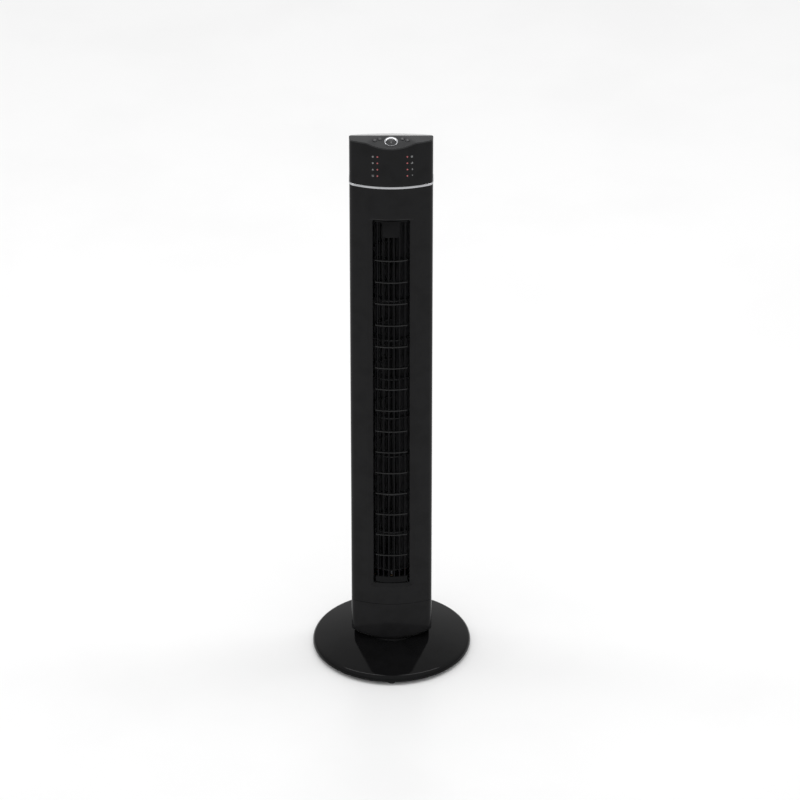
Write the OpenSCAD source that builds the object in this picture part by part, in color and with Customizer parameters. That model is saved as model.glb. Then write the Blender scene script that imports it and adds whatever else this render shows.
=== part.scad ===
// Tower fan: a tall D-section column that swings on a round base.
// Origin on the floor under the middle of the base, front face towards -Y, +Z up. Millimetres.

/* [Base] */
// Diameter of the round base
base_d = 274; // [268:2:300]
// Radius of the dark swivel plate that carries the column
swivel_plate_r = 48; // [46:1:50]
// Radius of the hollow spindle that the column turns on
spindle_r = 13.9; // [13:0.1:14]

/* [Column] */
// Width of the column
column_w = 138; // [134:1:146]
// Depth of the column, front face to back
column_d = 114; // [112:1:120]
// Distance from the spindle's axis to the front face
front_reach = 48; // [46:1:50]
// How far the front face bulges past the middle of its rounded corners
front_bulge = 24; // [22:1:28]
// Radius of the column's two front corners
corner_r = 12; // [10:1:14]
// Height of the column's lower edge above the floor
column_z = 36; // [36:1:40]
// Height of the seam between the foot housing and the long shells
seam_z = 108; // [106:1:110]
// Height of the trim ring's lower edge
trim_z = 915; // [911:1:919]
// Height of the top ridge
top_z = 998; // [994:1:1004]
// Wall thickness of the shells
wall = 2.5; // [2:0.1:3]

/* [Outlet] */
// Width of the air outlet in the front shell
outlet_w = 64; // [62:1:66]
// Height of the outlet's lower edge
outlet_z0 = 148; // [146:1:150]
// Height of the outlet's upper edge
outlet_z1 = 854; // [853:1:860]
// Number of curved rings across the outlet grille
ring_count = 15; // [8:1:16]
// Number of upright bars in the outlet grille
bar_count = 6; // [4:2:8]
// Height of the lowest ring
ring_z0 = 204; // [200:1:208]
// Height from one ring to the next
ring_pitch = 41; // [36:1:41]

/* [Impeller] */
// Outer radius of the cross-flow impeller
impeller_r = 42; // [40:1:43]
// Number of blades
blade_count = 30; // [20:2:32]
// Number of bays between the impeller's discs
bay_count = 9; // [6:1:10]

/* [Console] */
// Downward tilt of the console towards the front, in degrees
console_tilt = 15; // [13:0.5:16]
// Radius of the console's shallow dish
scoop_r = 120; // [110:5:140]
// Radius of the chrome ring round the power button
ring_r = 11.8; // [11:0.1:12]
// Button travel
button_travel = 1.2; // [0.8:0.1:1.4]

/* [Hidden] */
$fn = 64;
gap = 0.15;                 // seam between two fixed pieces
fit = 0.05;                 // radial clearance of a running fit
slack = 0.3;                // radial clearance round a moving button
half_w = column_w / 2;
split_y = -16;              // plane that parts the front and rear shells
axis_y = 10;                // the impeller's axis, behind the spindle's

// Column outline: a flat front arc, two rounded corners, straight sides and a round back
corner_x = half_w - corner_r;
corner_y = front_bulge - front_reach;
front_r = (pow(corner_x, 2) + pow(front_bulge, 2) - pow(corner_r, 2)) / (2 * (front_bulge - corner_r));
front_cy = front_r - front_reach;
front_a = asin(corner_x / (front_r - corner_r));
rear_y = column_d - front_reach;
rear_cy = rear_y - half_w;
function arc(c, r, a0, a1, n, first = 0, last = 0) =
    [for (k = [first : n - last]) c + r * [cos(a0 + (a1 - a0) * k / n), sin(a0 + (a1 - a0) * k / n)]];
function outline(inset) = concat(
    arc([0, rear_cy], half_w - inset, 0, 180, 36),
    arc([-corner_x, corner_y], corner_r - inset, 180, 270 - front_a, 6),
    arc([0, front_cy], front_r - inset, 270 - front_a, 270 + front_a, 16, 1, 1),
    arc([corner_x, corner_y], corner_r - inset, 270 + front_a, 360, 6));
function front_at(x) = front_cy - sqrt(pow(front_r, 2) - pow(x, 2));

// Heights, from the floor up
foot_h = 6;
dome_r = 400;               // radius of the base's domed top
dome_apex = 37.5;
pocket_r = swivel_plate_r + 1.5;
pocket_z = 26;              // floor of the round pocket that the swivel plate sits in
plate_z0 = pocket_z + 0.2;
plate_z1 = 33;
floor_t = 3;                // floor of the foot housing
arm_z = column_z + 7;       // slotted swing arm
arm_t = 3;
nut_z = arm_z + arm_t + 0.3;
nut_h = 5;
crank_z = arm_z + arm_t + 3.5;
crank_t = 3.5;
swing_motor_z = crank_z + crank_t + 0.7;
swing_motor_h = 20;
deck_z = 76;
deck_t = 3;
motor_z = deck_z + deck_t + 1;
motor_h = 54;
motor_r = 44;
wheel_z0 = 166;
wheel_z1 = 848;
bearing_z = 853;
bearing_plate_z = 858;
bearing_plate_t = 3;
handle_z0 = 869;
handle_z1 = 903;
trim_h = 4;
head_z = trim_z + trim_h + 0.2;

// Swing linkage: crank radius from the reach that gives the swing angle
swing_deg = 35;
crank_y = 30;
crank_r = crank_y * sin(swing_deg);

// Outlet grille
grille_r = 85;              // radius of the rings' front edge
grille_y = 4 - front_reach; // front of the rings, recessed behind the column's face
grille_half = 27.5;
bar_pitch = 54.8 / bar_count;
bar_half = 1.1;
sill_h = 13;
block_h = 32;
block_half = 1.5 * bar_pitch;
tab_half = 24;              // tabs behind the outlet's ends that hold the grille
tab_y = grille_y + 5;
ledge_t = 3;
bevel_w = 8.5;              // sloping border each side of the outlet
bevel_d = 4.5;

// Intake grille in the back
intake_z0 = 190;
intake_z1 = 800;
intake_half = 50;
intake_pitch = 10;
intake_slot = 5.5;
filter_half = 54;           // half the width of the dust mesh behind the intake grille
filter_t = 0.8;

// Console and buttons: angle round the dish and distance down the slope from the ridge
rear_slope = 25.5;          // fall of the head's top behind the ridge, in degrees
power_dist = 15.4;
power_shift = 2.6;
power_r = 8;
key_r = 3.8;
inner_key = [asin(18.5 / scoop_r), 10.5];
outer_key = [asin(27 / scoop_r), 15.5];
stem_floor = -6.3;          // console-frame height of every button stem's end
board_top = -10;
board_t = 1.6;

// Indicator lights on the head, two columns of four
led_r = 1.5;
led_x = [-22.5, 26.5];
led_z0 = 938.5;
led_pitch = 11.7;
led_board_y = -34;

// Screw places
shell_screw_x = 57;
shell_screw_z = [128, 887];
screw_seat_y = 4;           // bottom of the deep screw holes in the back
deck_boss = [[-46, -14], [46, -14], [-53, 21], [53, 21]];
cover_screw_r = 100;
plate_screw_r = 35;

// ---- helpers -------------------------------------------------------------------------------

module prism(inset, z0, z1) {
    translate([0, 0, z0]) linear_extrude(z1 - z0) polygon(outline(inset));
}

module tube_wall(z0, z1, inset = 0, t = wall) {
    translate([0, 0, z0]) linear_extrude(z1 - z0) difference() {
        polygon(outline(inset));
        polygon(outline(inset + t));
    }
}

module front_half(y = split_y - gap / 2) {
    translate([-100, y - 100, 0]) cube([200, 100, 1100]);
}

module rear_half(y = split_y + gap / 2) {
    translate([-100, y, 0]) cube([200, 150, 1100]);
}

module disc(r, z0, z1, x = 0, y = 0) {
    translate([x, y, z0]) cylinder(r = r, h = z1 - z0);
}

module pipe(r1, r0, z0, z1, x = 0, y = 0) {
    difference() {
        disc(r1, z0, z1, x, y);
        disc(r0, z0 - 1, z1 + 1, x, y);
    }
}

// A rod along Y
module rod_y(r, y0, y1, x, z) {
    translate([x, y0, z]) rotate([-90, 0, 0]) cylinder(r = r, h = y1 - y0);
}

module ring_of(count, r, a0 = 0) {
    for (k = [0 : count - 1]) rotate([0, 0, a0 + 360 * k / count]) translate([r, 0, 0]) children();
}

// A pan-head screw pointing down, its head's underside at z = 0
module screw(head_r, head_h, shank_r, length) {
    difference() {
        cylinder(r = head_r, h = head_h);
        translate([-head_r * 0.6, -0.4, head_h - 0.8]) cube([head_r * 1.2, 0.8, 1]);
        translate([-0.4, -head_r * 0.6, head_h - 0.8]) cube([0.8, head_r * 1.2, 1]);
    }
    translate([0, 0, -length]) cylinder(r = shank_r, h = length + 0.1);
}

// ---- base ----------------------------------------------------------------------------------

function dome_z(r) = dome_apex - pow(r, 2) / (2 * dome_r);
base_r = base_d / 2;
shoulder = 10;              // round shoulder between the rim and the dome
dome_slope = asin((base_r - shoulder) / dome_r);
crown_r = base_r - shoulder + shoulder * sin(dome_slope);
shoulder_z = dome_z(crown_r) - shoulder * cos(dome_slope);

// The outside of the base, or its inside when t is the wall's thickness
module base_profile(t) {
    polygon(concat(
        [[0, foot_h], [base_r - t, foot_h]],
        arc([base_r - shoulder, shoulder_z], shoulder - t, 0, 90 - dome_slope, 8),
        [for (k = [1 : 8]) let (r = crown_r + (pocket_r + t - crown_r) * k / 8) [r, dome_z(r) - t]],
        [[pocket_r + t, pocket_z - t], [0, pocket_z - t]]));
}

module base_disc() {
    color("#101012") difference() {
        rotate_extrude($fn = 128) base_profile(0);
        translate([0, 0, -0.01]) rotate_extrude($fn = 128) difference() {
            base_profile(3);
            translate([0, foot_h]) square([8, 40]);
        }
        disc(9, -1, 60);
        ring_of(4, plate_screw_r, 45) disc(1.7, 0, 40);
    }
    color("#101012") ring_of(4, cover_screw_r, 45) pipe(4.5, 1.6, foot_h + 3, dome_z(cover_screw_r) - 2.5);
}

module base_weight() {
    color("#5c6064") difference() {
        pipe(120, 60, foot_h + 3, foot_h + 6.5);
        ring_of(4, cover_screw_r, 45) disc(5.2, 0, 20);
    }
}

module bottom_cover() {
    color("#1c1c1e") difference() {
        disc(base_r - 3.6, foot_h - 0.2, foot_h + 2.6);
        disc(18, 0, 20);
        ring_of(4, cover_screw_r, 45) disc(2.2, 0, 20);
        ring_of(4, cover_screw_r, 45) disc(4.6, 0, foot_h + 1.2);
    }
}

module rubber_feet() {
    color("#232323") ring_of(6, base_r - 12, -90) difference() {
        cylinder(r = 7, h = foot_h - 0.3);
        translate([0, 0, -0.1]) cylinder(r = 3, h = 0.8);
    }
}

module cover_screws() {
    color("#b8bcc0") ring_of(4, cover_screw_r, 45)
        translate([0, 0, foot_h + 1.1]) rotate([180, 0, 0]) screw(4, 2.2, 1.5, 9);
}

module swivel_plate() {
    color("#0c0c0d") difference() {
        union() {
            disc(swivel_plate_r, plate_z0, plate_z1);
            disc(spindle_r, plate_z0, nut_z + nut_h + 1.5);
        }
        disc(8, 0, 80);
        ring_of(4, plate_screw_r, 45) disc(1.9, 0, 80);
        ring_of(4, plate_screw_r, 45) disc(4.1, plate_z1 - 3, 80);
    }
}

module plate_screws() {
    color("#b8bcc0") ring_of(4, plate_screw_r, 45)
        translate([0, 0, plate_z1 - 2.9]) screw(3.8, 2.4, 1.6, 9);
}

module slide_ring() {
    color("#e8e6df") pipe(36, 24, plate_z1 + 0.1, column_z - 0.3);
}

module swing_arm() {
    color("#c9ccd0") difference() {
        union() {
            disc(20, arm_z, arm_z + arm_t);
            translate([-7, 0, arm_z]) cube([14, 48, arm_t]);
            disc(7, arm_z, arm_z + arm_t, 0, 48);
        }
        disc(spindle_r + 0.02, 0, 80);
        translate([-2.75, 23, 0]) cube([5.5, 25, 80]);
        disc(2.75, 0, 80, 0, 23);
        disc(2.75, 0, 80, 0, 48);
    }
}

module spindle_nut() {
    color("#c9ccd0") difference() {
        translate([0, 0, nut_z]) cylinder(r = 19.5, h = nut_h, $fn = 6);
        disc(spindle_r + 0.02, 0, 80);
    }
}

// ---- foot of the column --------------------------------------------------------------------

foot_round_r = 88;          // the foot's underside is rounder in front than the column
foot_round_y = 42;
foot_taper_h = 16;

module foot_slice(inset, round_cut, z) {
    translate([0, 0, z]) linear_extrude(0.1) intersection() {
        polygon(outline(inset));
        translate([0, foot_round_y]) circle(r = foot_round_r - round_cut, $fn = 96);
    }
}

// The foot rounds in over its lowest part, most of all at its two front corners
module foot_form(inset, z0, z1) {
    hull() {
        foot_slice(inset + 5, inset, z0);
        foot_slice(inset + 1.8, inset - 3, z0 + 3);
        foot_slice(inset + 0.5, inset - 4.8, z0 + 8);
        prism(inset, column_z + foot_taper_h, z1);
    }
}

module foot_housing() {
    bore_r = spindle_r + fit;
    color("#101012") difference() {
        union() {
            difference() {
                foot_form(0, column_z, seam_z - gap);
                foot_form(wall, column_z + floor_t, seam_z + 1);
            }
            disc(bore_r + 4, column_z, arm_z - 0.5);
            for (p = deck_boss) disc(4.2, column_z + 1, deck_z, p[0], p[1]);
        }
        disc(bore_r, 0, 80);
        for (p = deck_boss) disc(1.5, deck_z - 14, deck_z + 1, p[0], p[1]);
        rod_y(7.1, 40, 80, 0, 90);
    }
}

module chassis_deck() {
    color("#2a2a2c") difference() {
        union() {
            prism(wall + 0.4, deck_z + 0.05, deck_z + deck_t);
            for (a = [45 : 90 : 315])
                disc(4, deck_z + deck_t - 0.1, motor_z, 38 * cos(a), axis_y + 38 * sin(a));
        }
        for (p = deck_boss) disc(1.9, 0, 100, p[0], p[1]);
        disc(12, 0, 100, 0, axis_y);
        disc(3.1, 0, 100, 0, 48);
    }
}

module deck_screws() {
    color("#b8bcc0") for (p = deck_boss)
        translate([p[0], p[1], deck_z + deck_t + 0.02]) screw(3.6, 2.4, 1.45, 11);
}

module cord_gland() {
    color("#161616") difference() {
        union() {
            rod_y(7, rear_y - 12, rear_y + 1, 0, 90);
            rod_y(10, rear_y + 0.1, rear_y + 3, 0, 90);
            rod_y(9, rear_y - 9, rear_y - 6, 0, 90);
        }
        rod_y(3.4, 0, 100, 0, 90);
    }
}

module swing_motor() {
    y = crank_y;
    z1 = swing_motor_z + swing_motor_h;
    color("#c2c5c8") union() {
        disc(24, swing_motor_z, z1 - 1, 0, y);
        disc(4, swing_motor_z - 0.5, swing_motor_z + 1, 0, y);
        for (s = [-1, 1]) difference() {
            union() {
                disc(5, z1 - 2, z1 - 1, s * 29, y);
                translate([min(s * 20, s * 29), y - 5, z1 - 2]) cube([9, 10, 1]);
            }
            disc(2, 0, 100, s * 29, y);
        }
    }
}

module swing_crank() {
    color("#e8e6df") difference() {
        union() {
            disc(6, crank_z, crank_z + crank_t, 0, crank_y);
            translate([-4, crank_y, crank_z]) cube([8, crank_r, crank_t]);
            disc(4, crank_z, crank_z + crank_t, 0, crank_y + crank_r);
            disc(2.3, arm_z + arm_t + 0.5, crank_z + 1, 0, crank_y + crank_r);
        }
        disc(1.5, 0, 100, 0, crank_y);
    }
}

// ---- column shells -------------------------------------------------------------------------

module outlet_border() {
    y0 = front_at(outlet_w / 2 + bevel_w);
    for (s = [-1, 1]) translate([0, 0, outlet_z0 - 3]) linear_extrude(outlet_z1 - outlet_z0 + 6)
        polygon([[s * (outlet_w / 2 + bevel_w), y0], [s * outlet_w / 2, y0 + bevel_d],
            [s * outlet_w / 2, y0 + bevel_d + 2], [s * (outlet_w / 2 + bevel_w), y0 + 2.2]]);
    ledge_y = 1 - front_reach;
    for (z = [outlet_z0 - ledge_t, outlet_z1]) translate([-outlet_w / 2 - 2, ledge_y, z])
        cube([outlet_w + 4, tab_y - 0.3 - ledge_y, ledge_t]);
}

module front_shell() {
    color("#111113") {
        difference() {
            intersection() {
                tube_wall(seam_z + gap, trim_z - gap);
                front_half();
            }
            translate([-outlet_w / 2 - bevel_w, -80, outlet_z0])
                cube([outlet_w + 2 * bevel_w, 80, outlet_z1 - outlet_z0]);
        }
        intersection() {
            outlet_border();
            prism(0, 0, 1000);
        }
        for (z = shell_screw_z) for (s = [-1, 1]) difference() {
            rod_y(4.5, front_at(shell_screw_x) + wall / 2, split_y - gap / 2, s * shell_screw_x, z);
            rod_y(1.6, split_y - 12, split_y + 1, s * shell_screw_x, z);
        }
    }
}

function rear_at(x) = rear_cy + sqrt(pow(half_w, 2) - pow(x, 2));

module rear_shell() {
    post_y = rear_at(shell_screw_x) - wall - 2;
    color("#111113") {
        difference() {
            union() {
                intersection() {
                    tube_wall(seam_z + gap, trim_z - gap);
                    rear_half();
                }
                for (z = shell_screw_z) for (s = [-1, 1])
                    rod_y(4.5, split_y + gap / 2, post_y, s * shell_screw_x, z);
            }
            translate([-intake_half, 10, intake_z0]) cube([2 * intake_half, 100, intake_z1 - intake_z0]);
            translate([-40, 10, handle_z0 + 2]) cube([80, 100, handle_z1 - handle_z0 - 4]);
            for (z = shell_screw_z) for (s = [-1, 1]) {
                rod_y(1.9, split_y - 1, 80, s * shell_screw_x, z);
                rod_y(3.9, screw_seat_y, 80, s * shell_screw_x, z);
            }
        }
    }
}

module shell_screws() {
    color("#3a3a3c") for (z = shell_screw_z) for (s = [-1, 1])
        translate([s * shell_screw_x, screw_seat_y + 0.02, z]) rotate([-90, 0, 0]) screw(3.6, 2.6, 1.5, 30);
}

module intake_grille() {
    slot_count = floor((intake_z1 - intake_z0 - 12) / intake_pitch);
    color("#111113") difference() {
        intersection() {
            tube_wall(intake_z0 + gap, intake_z1 - gap);
            translate([-intake_half + gap, 20, 0]) cube([2 * (intake_half - gap), 100, 1000]);
        }
        for (k = [0 : slot_count - 1]) for (c = [-1.5 : 1 : 1.5])
            translate([c * 23.5 - 10.2, 20, intake_z0 + 8 + k * intake_pitch]) cube([20.4, 100, intake_slot]);
    }
}

module intake_filter() {
    color("#1d1d1f") intersection() {
        tube_wall(intake_z0 - 4, intake_z1 + 4, wall + gap, filter_t);
        translate([-filter_half, 20, 0]) cube([2 * filter_half, 100, 1000]);
    }
}

module handle_cup() {
    color("#18181a") intersection() {
        prism(wall + gap, 800, 1000);
        difference() {
            translate([-42, 36, handle_z0]) cube([84, 60, handle_z1 - handle_z0]);
            translate([-40, 38, handle_z0 + 2]) cube([80, 60, handle_z1 - handle_z0 - 4]);
        }
    }
}

module trim_ring() {
    color("#d8dadc") translate([0, 0, trim_z]) linear_extrude(trim_h) difference() {
        polygon(outline(-0.6));
        polygon(outline(4));
    }
}

// ---- outlet grille -------------------------------------------------------------------------

module grille_band(r1, r0, x0, x1, z0, z1) {
    intersection() {
        pipe(r1, r0, z0, z1, 0, grille_y + grille_r);
        translate([x0, -60, z0 - 1]) cube([x1 - x0, 60, z1 - z0 + 2]);
    }
}

module outlet_grille() {
    color("#161618") {
        for (k = [0 : bar_count - 1]) {
            x = (k - (bar_count - 1) / 2) * bar_pitch;
            grille_band(grille_r - 0.9, grille_r - 7, x - bar_half, x + bar_half,
                outlet_z0 + 1, outlet_z1 - 1);
        }
        for (k = [0 : ring_count - 1]) {
            z = ring_z0 + k * ring_pitch;
            grille_band(grille_r, grille_r - 5, -grille_half, grille_half, z - 0.9, z + 0.9);
        }
        // The sill below, the block above and the strip across the top
        for (b = [[grille_half, outlet_z0 + 1, outlet_z0 + sill_h],
            [block_half, outlet_z1 - block_h, outlet_z1 - 1], [grille_half, outlet_z1 - 4, outlet_z1 - 1]])
            grille_band(grille_r - 0.5, grille_r - 5, -b[0], b[0], b[1], b[2]);
        for (z = [outlet_z0 - 9, outlet_z1 - 6])
            grille_band(grille_r - 5, grille_r - 8, -tab_half, tab_half, z, z + 15);
    }
}

// ---- air path ------------------------------------------------------------------------------

// A curved sheet round the impeller whose radius grows evenly with the angle
module spiral_sheet(a0, r0, a1, r1, t, z0, z1, steps = 16) {
    function at(k, extra) = let (a = a0 + (a1 - a0) * k / steps, r = r0 + (r1 - r0) * k / steps + extra)
        [r * cos(a), axis_y + r * sin(a)];
    translate([0, 0, z0]) linear_extrude(z1 - z0) polygon(concat(
        [for (k = [0 : steps]) at(k, 0)], [for (k = [steps : -1 : 0]) at(k, t)]));
}

guide_near = 45;            // nearest and furthest the air guides come to the impeller's axis
guide_far = 56;
guide_t = 1.6;

module rear_guide() {
    color("#2a2a2c") spiral_sheet(130, guide_near, 232, guide_far, guide_t, wheel_z0 - 6, wheel_z1 + 4);
}

module vortex_tongue() {
    color("#2a2a2c") union() {
        spiral_sheet(308, guide_far, 330, guide_near + 1, guide_t, wheel_z0 - 6, wheel_z1 + 4, 5);
        spiral_sheet(328, guide_near + 1.4, 344, guide_far, guide_t, wheel_z0 - 6, wheel_z1 + 4, 5);
    }
}

blade_chord = 8.8;
blade_t = 1;
blade_lean = 28;
disc_t = 2;
disc_bore_r = 30;

module blade() {
    rotate([0, 0, blade_lean]) square([blade_chord, blade_t], center = true);
}

module impeller_wheel() {
    bay = (wheel_z1 - wheel_z0 - disc_t) / bay_count;
    color("#26262a") translate([0, axis_y, 0]) union() {
        translate([0, 0, wheel_z0]) linear_extrude(wheel_z1 - wheel_z0)
            for (k = [0 : blade_count - 1]) rotate(360 * k / blade_count)
                translate([impeller_r - 5, 0]) blade();
        for (k = [0 : bay_count]) pipe(impeller_r, k == 0 || k == bay_count ? 5.1 : disc_bore_r,
            wheel_z0 + k * bay, wheel_z0 + k * bay + disc_t);
    }
}

// ---- motor ---------------------------------------------------------------------------------

motor_mid = motor_z + motor_h / 2;
stack_h = 26;
rotor_r = 22;

cap_t = 1.5;
cap_bore_r = 6.6;
cap_tube_r = 9.5;

module cap_vents(z) {
    for (a = [0 : 30 : 330]) disc(3.2, z - 1, z + cap_t + 1, 29 * cos(a), axis_y + 29 * sin(a));
}

module motor_lower_cap() {
    z0 = motor_z + 0.1;
    color("#9a9da1") difference() {
        union() {
            pipe(motor_r, motor_r - cap_t, z0, motor_mid - gap, 0, axis_y);
            pipe(motor_r, 8, z0, z0 + cap_t, 0, axis_y);
            pipe(cap_tube_r, cap_bore_r, z0, z0 + 9, 0, axis_y);
        }
        cap_vents(z0);
        for (a = [45 : 90 : 315]) disc(1.7, 0, 200, 38 * cos(a), axis_y + 38 * sin(a));
    }
}

module motor_upper_cap() {
    z1 = motor_z + motor_h;
    color("#9a9da1") difference() {
        union() {
            pipe(motor_r, motor_r - cap_t, motor_mid + gap, z1, 0, axis_y);
            pipe(motor_r, 8, z1 - cap_t, z1, 0, axis_y);
            pipe(cap_tube_r, cap_bore_r, z1 - 9, z1, 0, axis_y);
        }
        cap_vents(z1 - cap_t);
    }
}

module stator_core() {
    color("#6f747a") difference() {
        pipe(motor_r - 1.6, rotor_r + 0.5, motor_mid - stack_h / 2, motor_mid + stack_h / 2, 0, axis_y);
        for (a = [0 : 30 : 330]) disc(2.6, 0, 200, 31 * cos(a), axis_y + 31 * sin(a));
    }
}

module stator_windings() {
    h = stack_h / 2;
    color("#b4682e") for (z = [motor_mid - h - 8.2, motor_mid + h + 0.2])
        translate([0, axis_y, z + 4]) rotate_extrude() translate([30.5, 0]) square([11, 8], center = true);
}

module motor_bushes() {
    color("#b08d57") for (z = [motor_z + 0.6, motor_z + motor_h - 8.6])
        pipe(6.55, 4 + fit, z, z + 8, 0, axis_y);
}

module motor_screws() {
    color("#b8bcc0") for (a = [45 : 90 : 315])
        translate([38 * cos(a), axis_y + 38 * sin(a), motor_z + 1.65]) screw(3, 1.8, 1.5, 1.5);
}

module motor_rotor() {
    color("#8a8f95") pipe(rotor_r, 4.02, motor_mid - stack_h / 2, motor_mid + stack_h / 2, 0, axis_y);
}

module motor_shaft() {
    color("#c9ccd0") disc(4, motor_z - 3, wheel_z0 + 14, 0, axis_y);
}

module drive_hub() {
    color("#303034") translate([0, axis_y, 0]) difference() {
        union() {
            disc(9, wheel_z0 - 10, wheel_z0 - 0.1);
            disc(5.05, wheel_z0 - 0.2, wheel_z0 + 16);
        }
        disc(4.02, 0, wheel_z0 + 30);
        translate([0, 0, wheel_z0 - 5]) rotate([0, 90, 0]) cylinder(r = 1.5, h = 12);
    }
}

module stub_shaft() {
    color("#c9ccd0") translate([0, axis_y, 0]) union() {
        disc(5.05, wheel_z1 - 14, wheel_z1 + 2);
        disc(3, wheel_z1, bearing_z + 11);
    }
}

// ---- upper bearing and mains parts ---------------------------------------------------------

module upper_bearing_plate() {
    color("#2a2a2c") difference() {
        union() {
            intersection() {
                prism(wall + 0.4, bearing_plate_z, bearing_plate_z + bearing_plate_t);
                rear_half(tab_y + 8);
            }
            disc(14, bearing_z, bearing_plate_z + 0.1, 0, axis_y);
            for (x = [-30, 30]) for (y = [-22, 26])
                disc(3, bearing_plate_z + bearing_plate_t - 1, bearing_plate_z + 7, x, y);
        }
        disc(11, 0, 1000, 0, axis_y);
        disc(6, 0, 1000, 45, 20);
    }
}

module bearing_mount() {
    color("#1a1a1a") pipe(10.95, 7, bearing_z, bearing_plate_z + bearing_plate_t, 0, axis_y);
}

module bearing_bush() {
    color("#b08d57") pipe(6.95, 3 + fit, bearing_z, bearing_plate_z + bearing_plate_t, 0, axis_y);
}

power_board_z = bearing_plate_z + 7.1;

module power_board() {
    color("#2f5d3a") union() {
        translate([-36, -27, power_board_z]) cube([72, 59, board_t]);
        translate([-30, -20, power_board_z + board_t - 0.1]) cube([18, 14, 12]);
        translate([14, -22, power_board_z + board_t - 0.1]) cube([16, 20, 15]);
        for (x = [-24 : 8 : 0]) translate([x, 20, power_board_z + board_t - 0.1]) cube([6, 9, 9]);
    }
}

module run_capacitor() {
    color("#d9d6cc") translate([-14, 0, power_board_z + board_t + 0.1]) union() {
        cube([34, 15, 22]);
        translate([3, 6, 21.9]) cube([0.8, 6, 5]);
        translate([30, 6, 21.9]) cube([0.8, 6, 5]);
    }
}

// ---- head ----------------------------------------------------------------------------------

// Everything below the head's top surface, lowered by drop: level wings, a tilted dish in front
// of the ridge and a slope behind it
module under_top(drop) {
    translate([0, 0, -drop]) difference() {
        translate([-100, -100, 850]) cube([200, 200, top_z - 850]);
        on_console(0) rotate([90, 0, 0]) translate([0, scoop_r, 0])
            cylinder(r = scoop_r, h = 160, center = true, $fn = 180);
        translate([-100, split_y, top_z]) rotate([-rear_slope, 0, 0]) cube([200, 150, 100]);
    }
}

// Console frame: origin on the ridge, -Y down the slope, Z square to the console
module on_console(dist) {
    translate([0, split_y, top_z]) rotate([console_tilt, 0, 0]) translate([0, -dist, 0]) children();
}

// A key's frame on the dish, its Z pointing out of the surface
module on_key(key, side) {
    on_console(key[1]) translate([0, 0, scoop_r]) rotate([0, -side * key[0], 0])
        translate([0, 0, -scoop_r]) children();
}

function key_rise(key) = scoop_r * (1 - cos(key[0]));
function stem_len(key) = (key_rise(key) - stem_floor) / cos(key[0]);

module control_panel() {
    color("#3c3d40") difference() {
        intersection() {
            prism(0, 950, top_z + 1);
            front_half();
            difference() {
                under_top(0);
                under_top(wall);
            }
        }
        on_console(power_dist) translate([0, 0, -20]) cylinder(r = ring_r + gap, h = 40);
        for (side = [-1, 1]) for (key = [inner_key, outer_key])
            on_key(key, side) translate([0, 0, -20]) cylinder(r = key_r + slack, h = 40);
    }
}

module head_front() {
    color("#0e0e10") difference() {
        intersection() {
            tube_wall(head_z, top_z);
            front_half();
            under_top(wall + 0.1);
        }
        for (x = led_x) for (k = [0 : 3]) rod_y(led_r + 0.15, -60, -30, x, led_z0 + k * led_pitch);
    }
}

module head_rear() {
    color("#111113") intersection() {
        rear_half();
        difference() {
            intersection() {
                prism(0, head_z, top_z);
                under_top(0);
            }
            intersection() {
                prism(wall, head_z - 1, top_z);
                under_top(wall);
            }
        }
    }
}

module head_deck() {
    color("#2a2a2c") difference() {
        prism(wall + 0.3, head_z, head_z + 2.5);
        disc(8, 0, 1000, 0, 20);
    }
}

module button_ring() {
    color("#e2e4e6") on_console(power_dist) difference() {
        union() {
            translate([0, 0, -3]) cylinder(r = ring_r, h = 4.6);
            translate([0, 0.6, -4.6]) cylinder(r = ring_r + 0.8, h = 1.7);
        }
        translate([0, -power_shift, -10]) cylinder(r = power_r + slack, h = 20);
    }
}

module power_button() {
    color("#2c2d30") on_console(power_dist + power_shift) union() {
        translate([0, 0, -2.6]) cylinder(r = power_r, h = 3.8);
        translate([0, 0, stem_floor]) cylinder(r = 2.5, h = 4);
    }
}

module key_button(key, side) {
    length = stem_len(key);
    color("#1b1c1e") on_key(key, side) union() {
        translate([0, 0, -2.4]) cylinder(r = key_r, h = 3.4);
        translate([0, 0, -length]) cylinder(r = 1.6, h = length - 2);
    }
}

module timer_button() key_button(outer_key, -1);
module mode_button() key_button(inner_key, -1);
module speed_button() key_button(inner_key, 1);
module swing_button() key_button(outer_key, 1);

module switch_at(x, dist) {
    on_console(dist) {
        translate([x - 3, -3, board_top + 0.02]) cube([6, 6, 1.6]);
        translate([x, 0, board_top + 0.02]) cylinder(r = 1.5, h = 2.1);
    }
}

module tact_switches() {
    color("#b9bcc0") {
        switch_at(0, power_dist + power_shift);
        for (side = [-1, 1]) for (key = [inner_key, outer_key])
            switch_at(side * (scoop_r * sin(key[0]) + stem_len(key) * sin(key[0])), key[1]);
    }
}

module control_board() {
    color("#2f5d3a") on_console(0) translate([-44, -26, board_top - board_t]) cube([88, 22, board_t]);
}

module display_board() {
    color("#2f5d3a") translate([-40, led_board_y + 0.1, 930]) cube([80, board_t, 50]);
}

module red_leds() {
    color("#d4242c") for (x = led_x) for (k = [0 : 3]) union() {
        rod_y(led_r, front_at(x) + 0.3, led_board_y, x, led_z0 + k * led_pitch);
        translate([x, front_at(x) + 0.3, led_z0 + k * led_pitch]) sphere(r = led_r, $fn = 32);
        rod_y(1.9, led_board_y - 3, led_board_y, x, led_z0 + k * led_pitch);
    }
}

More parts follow.
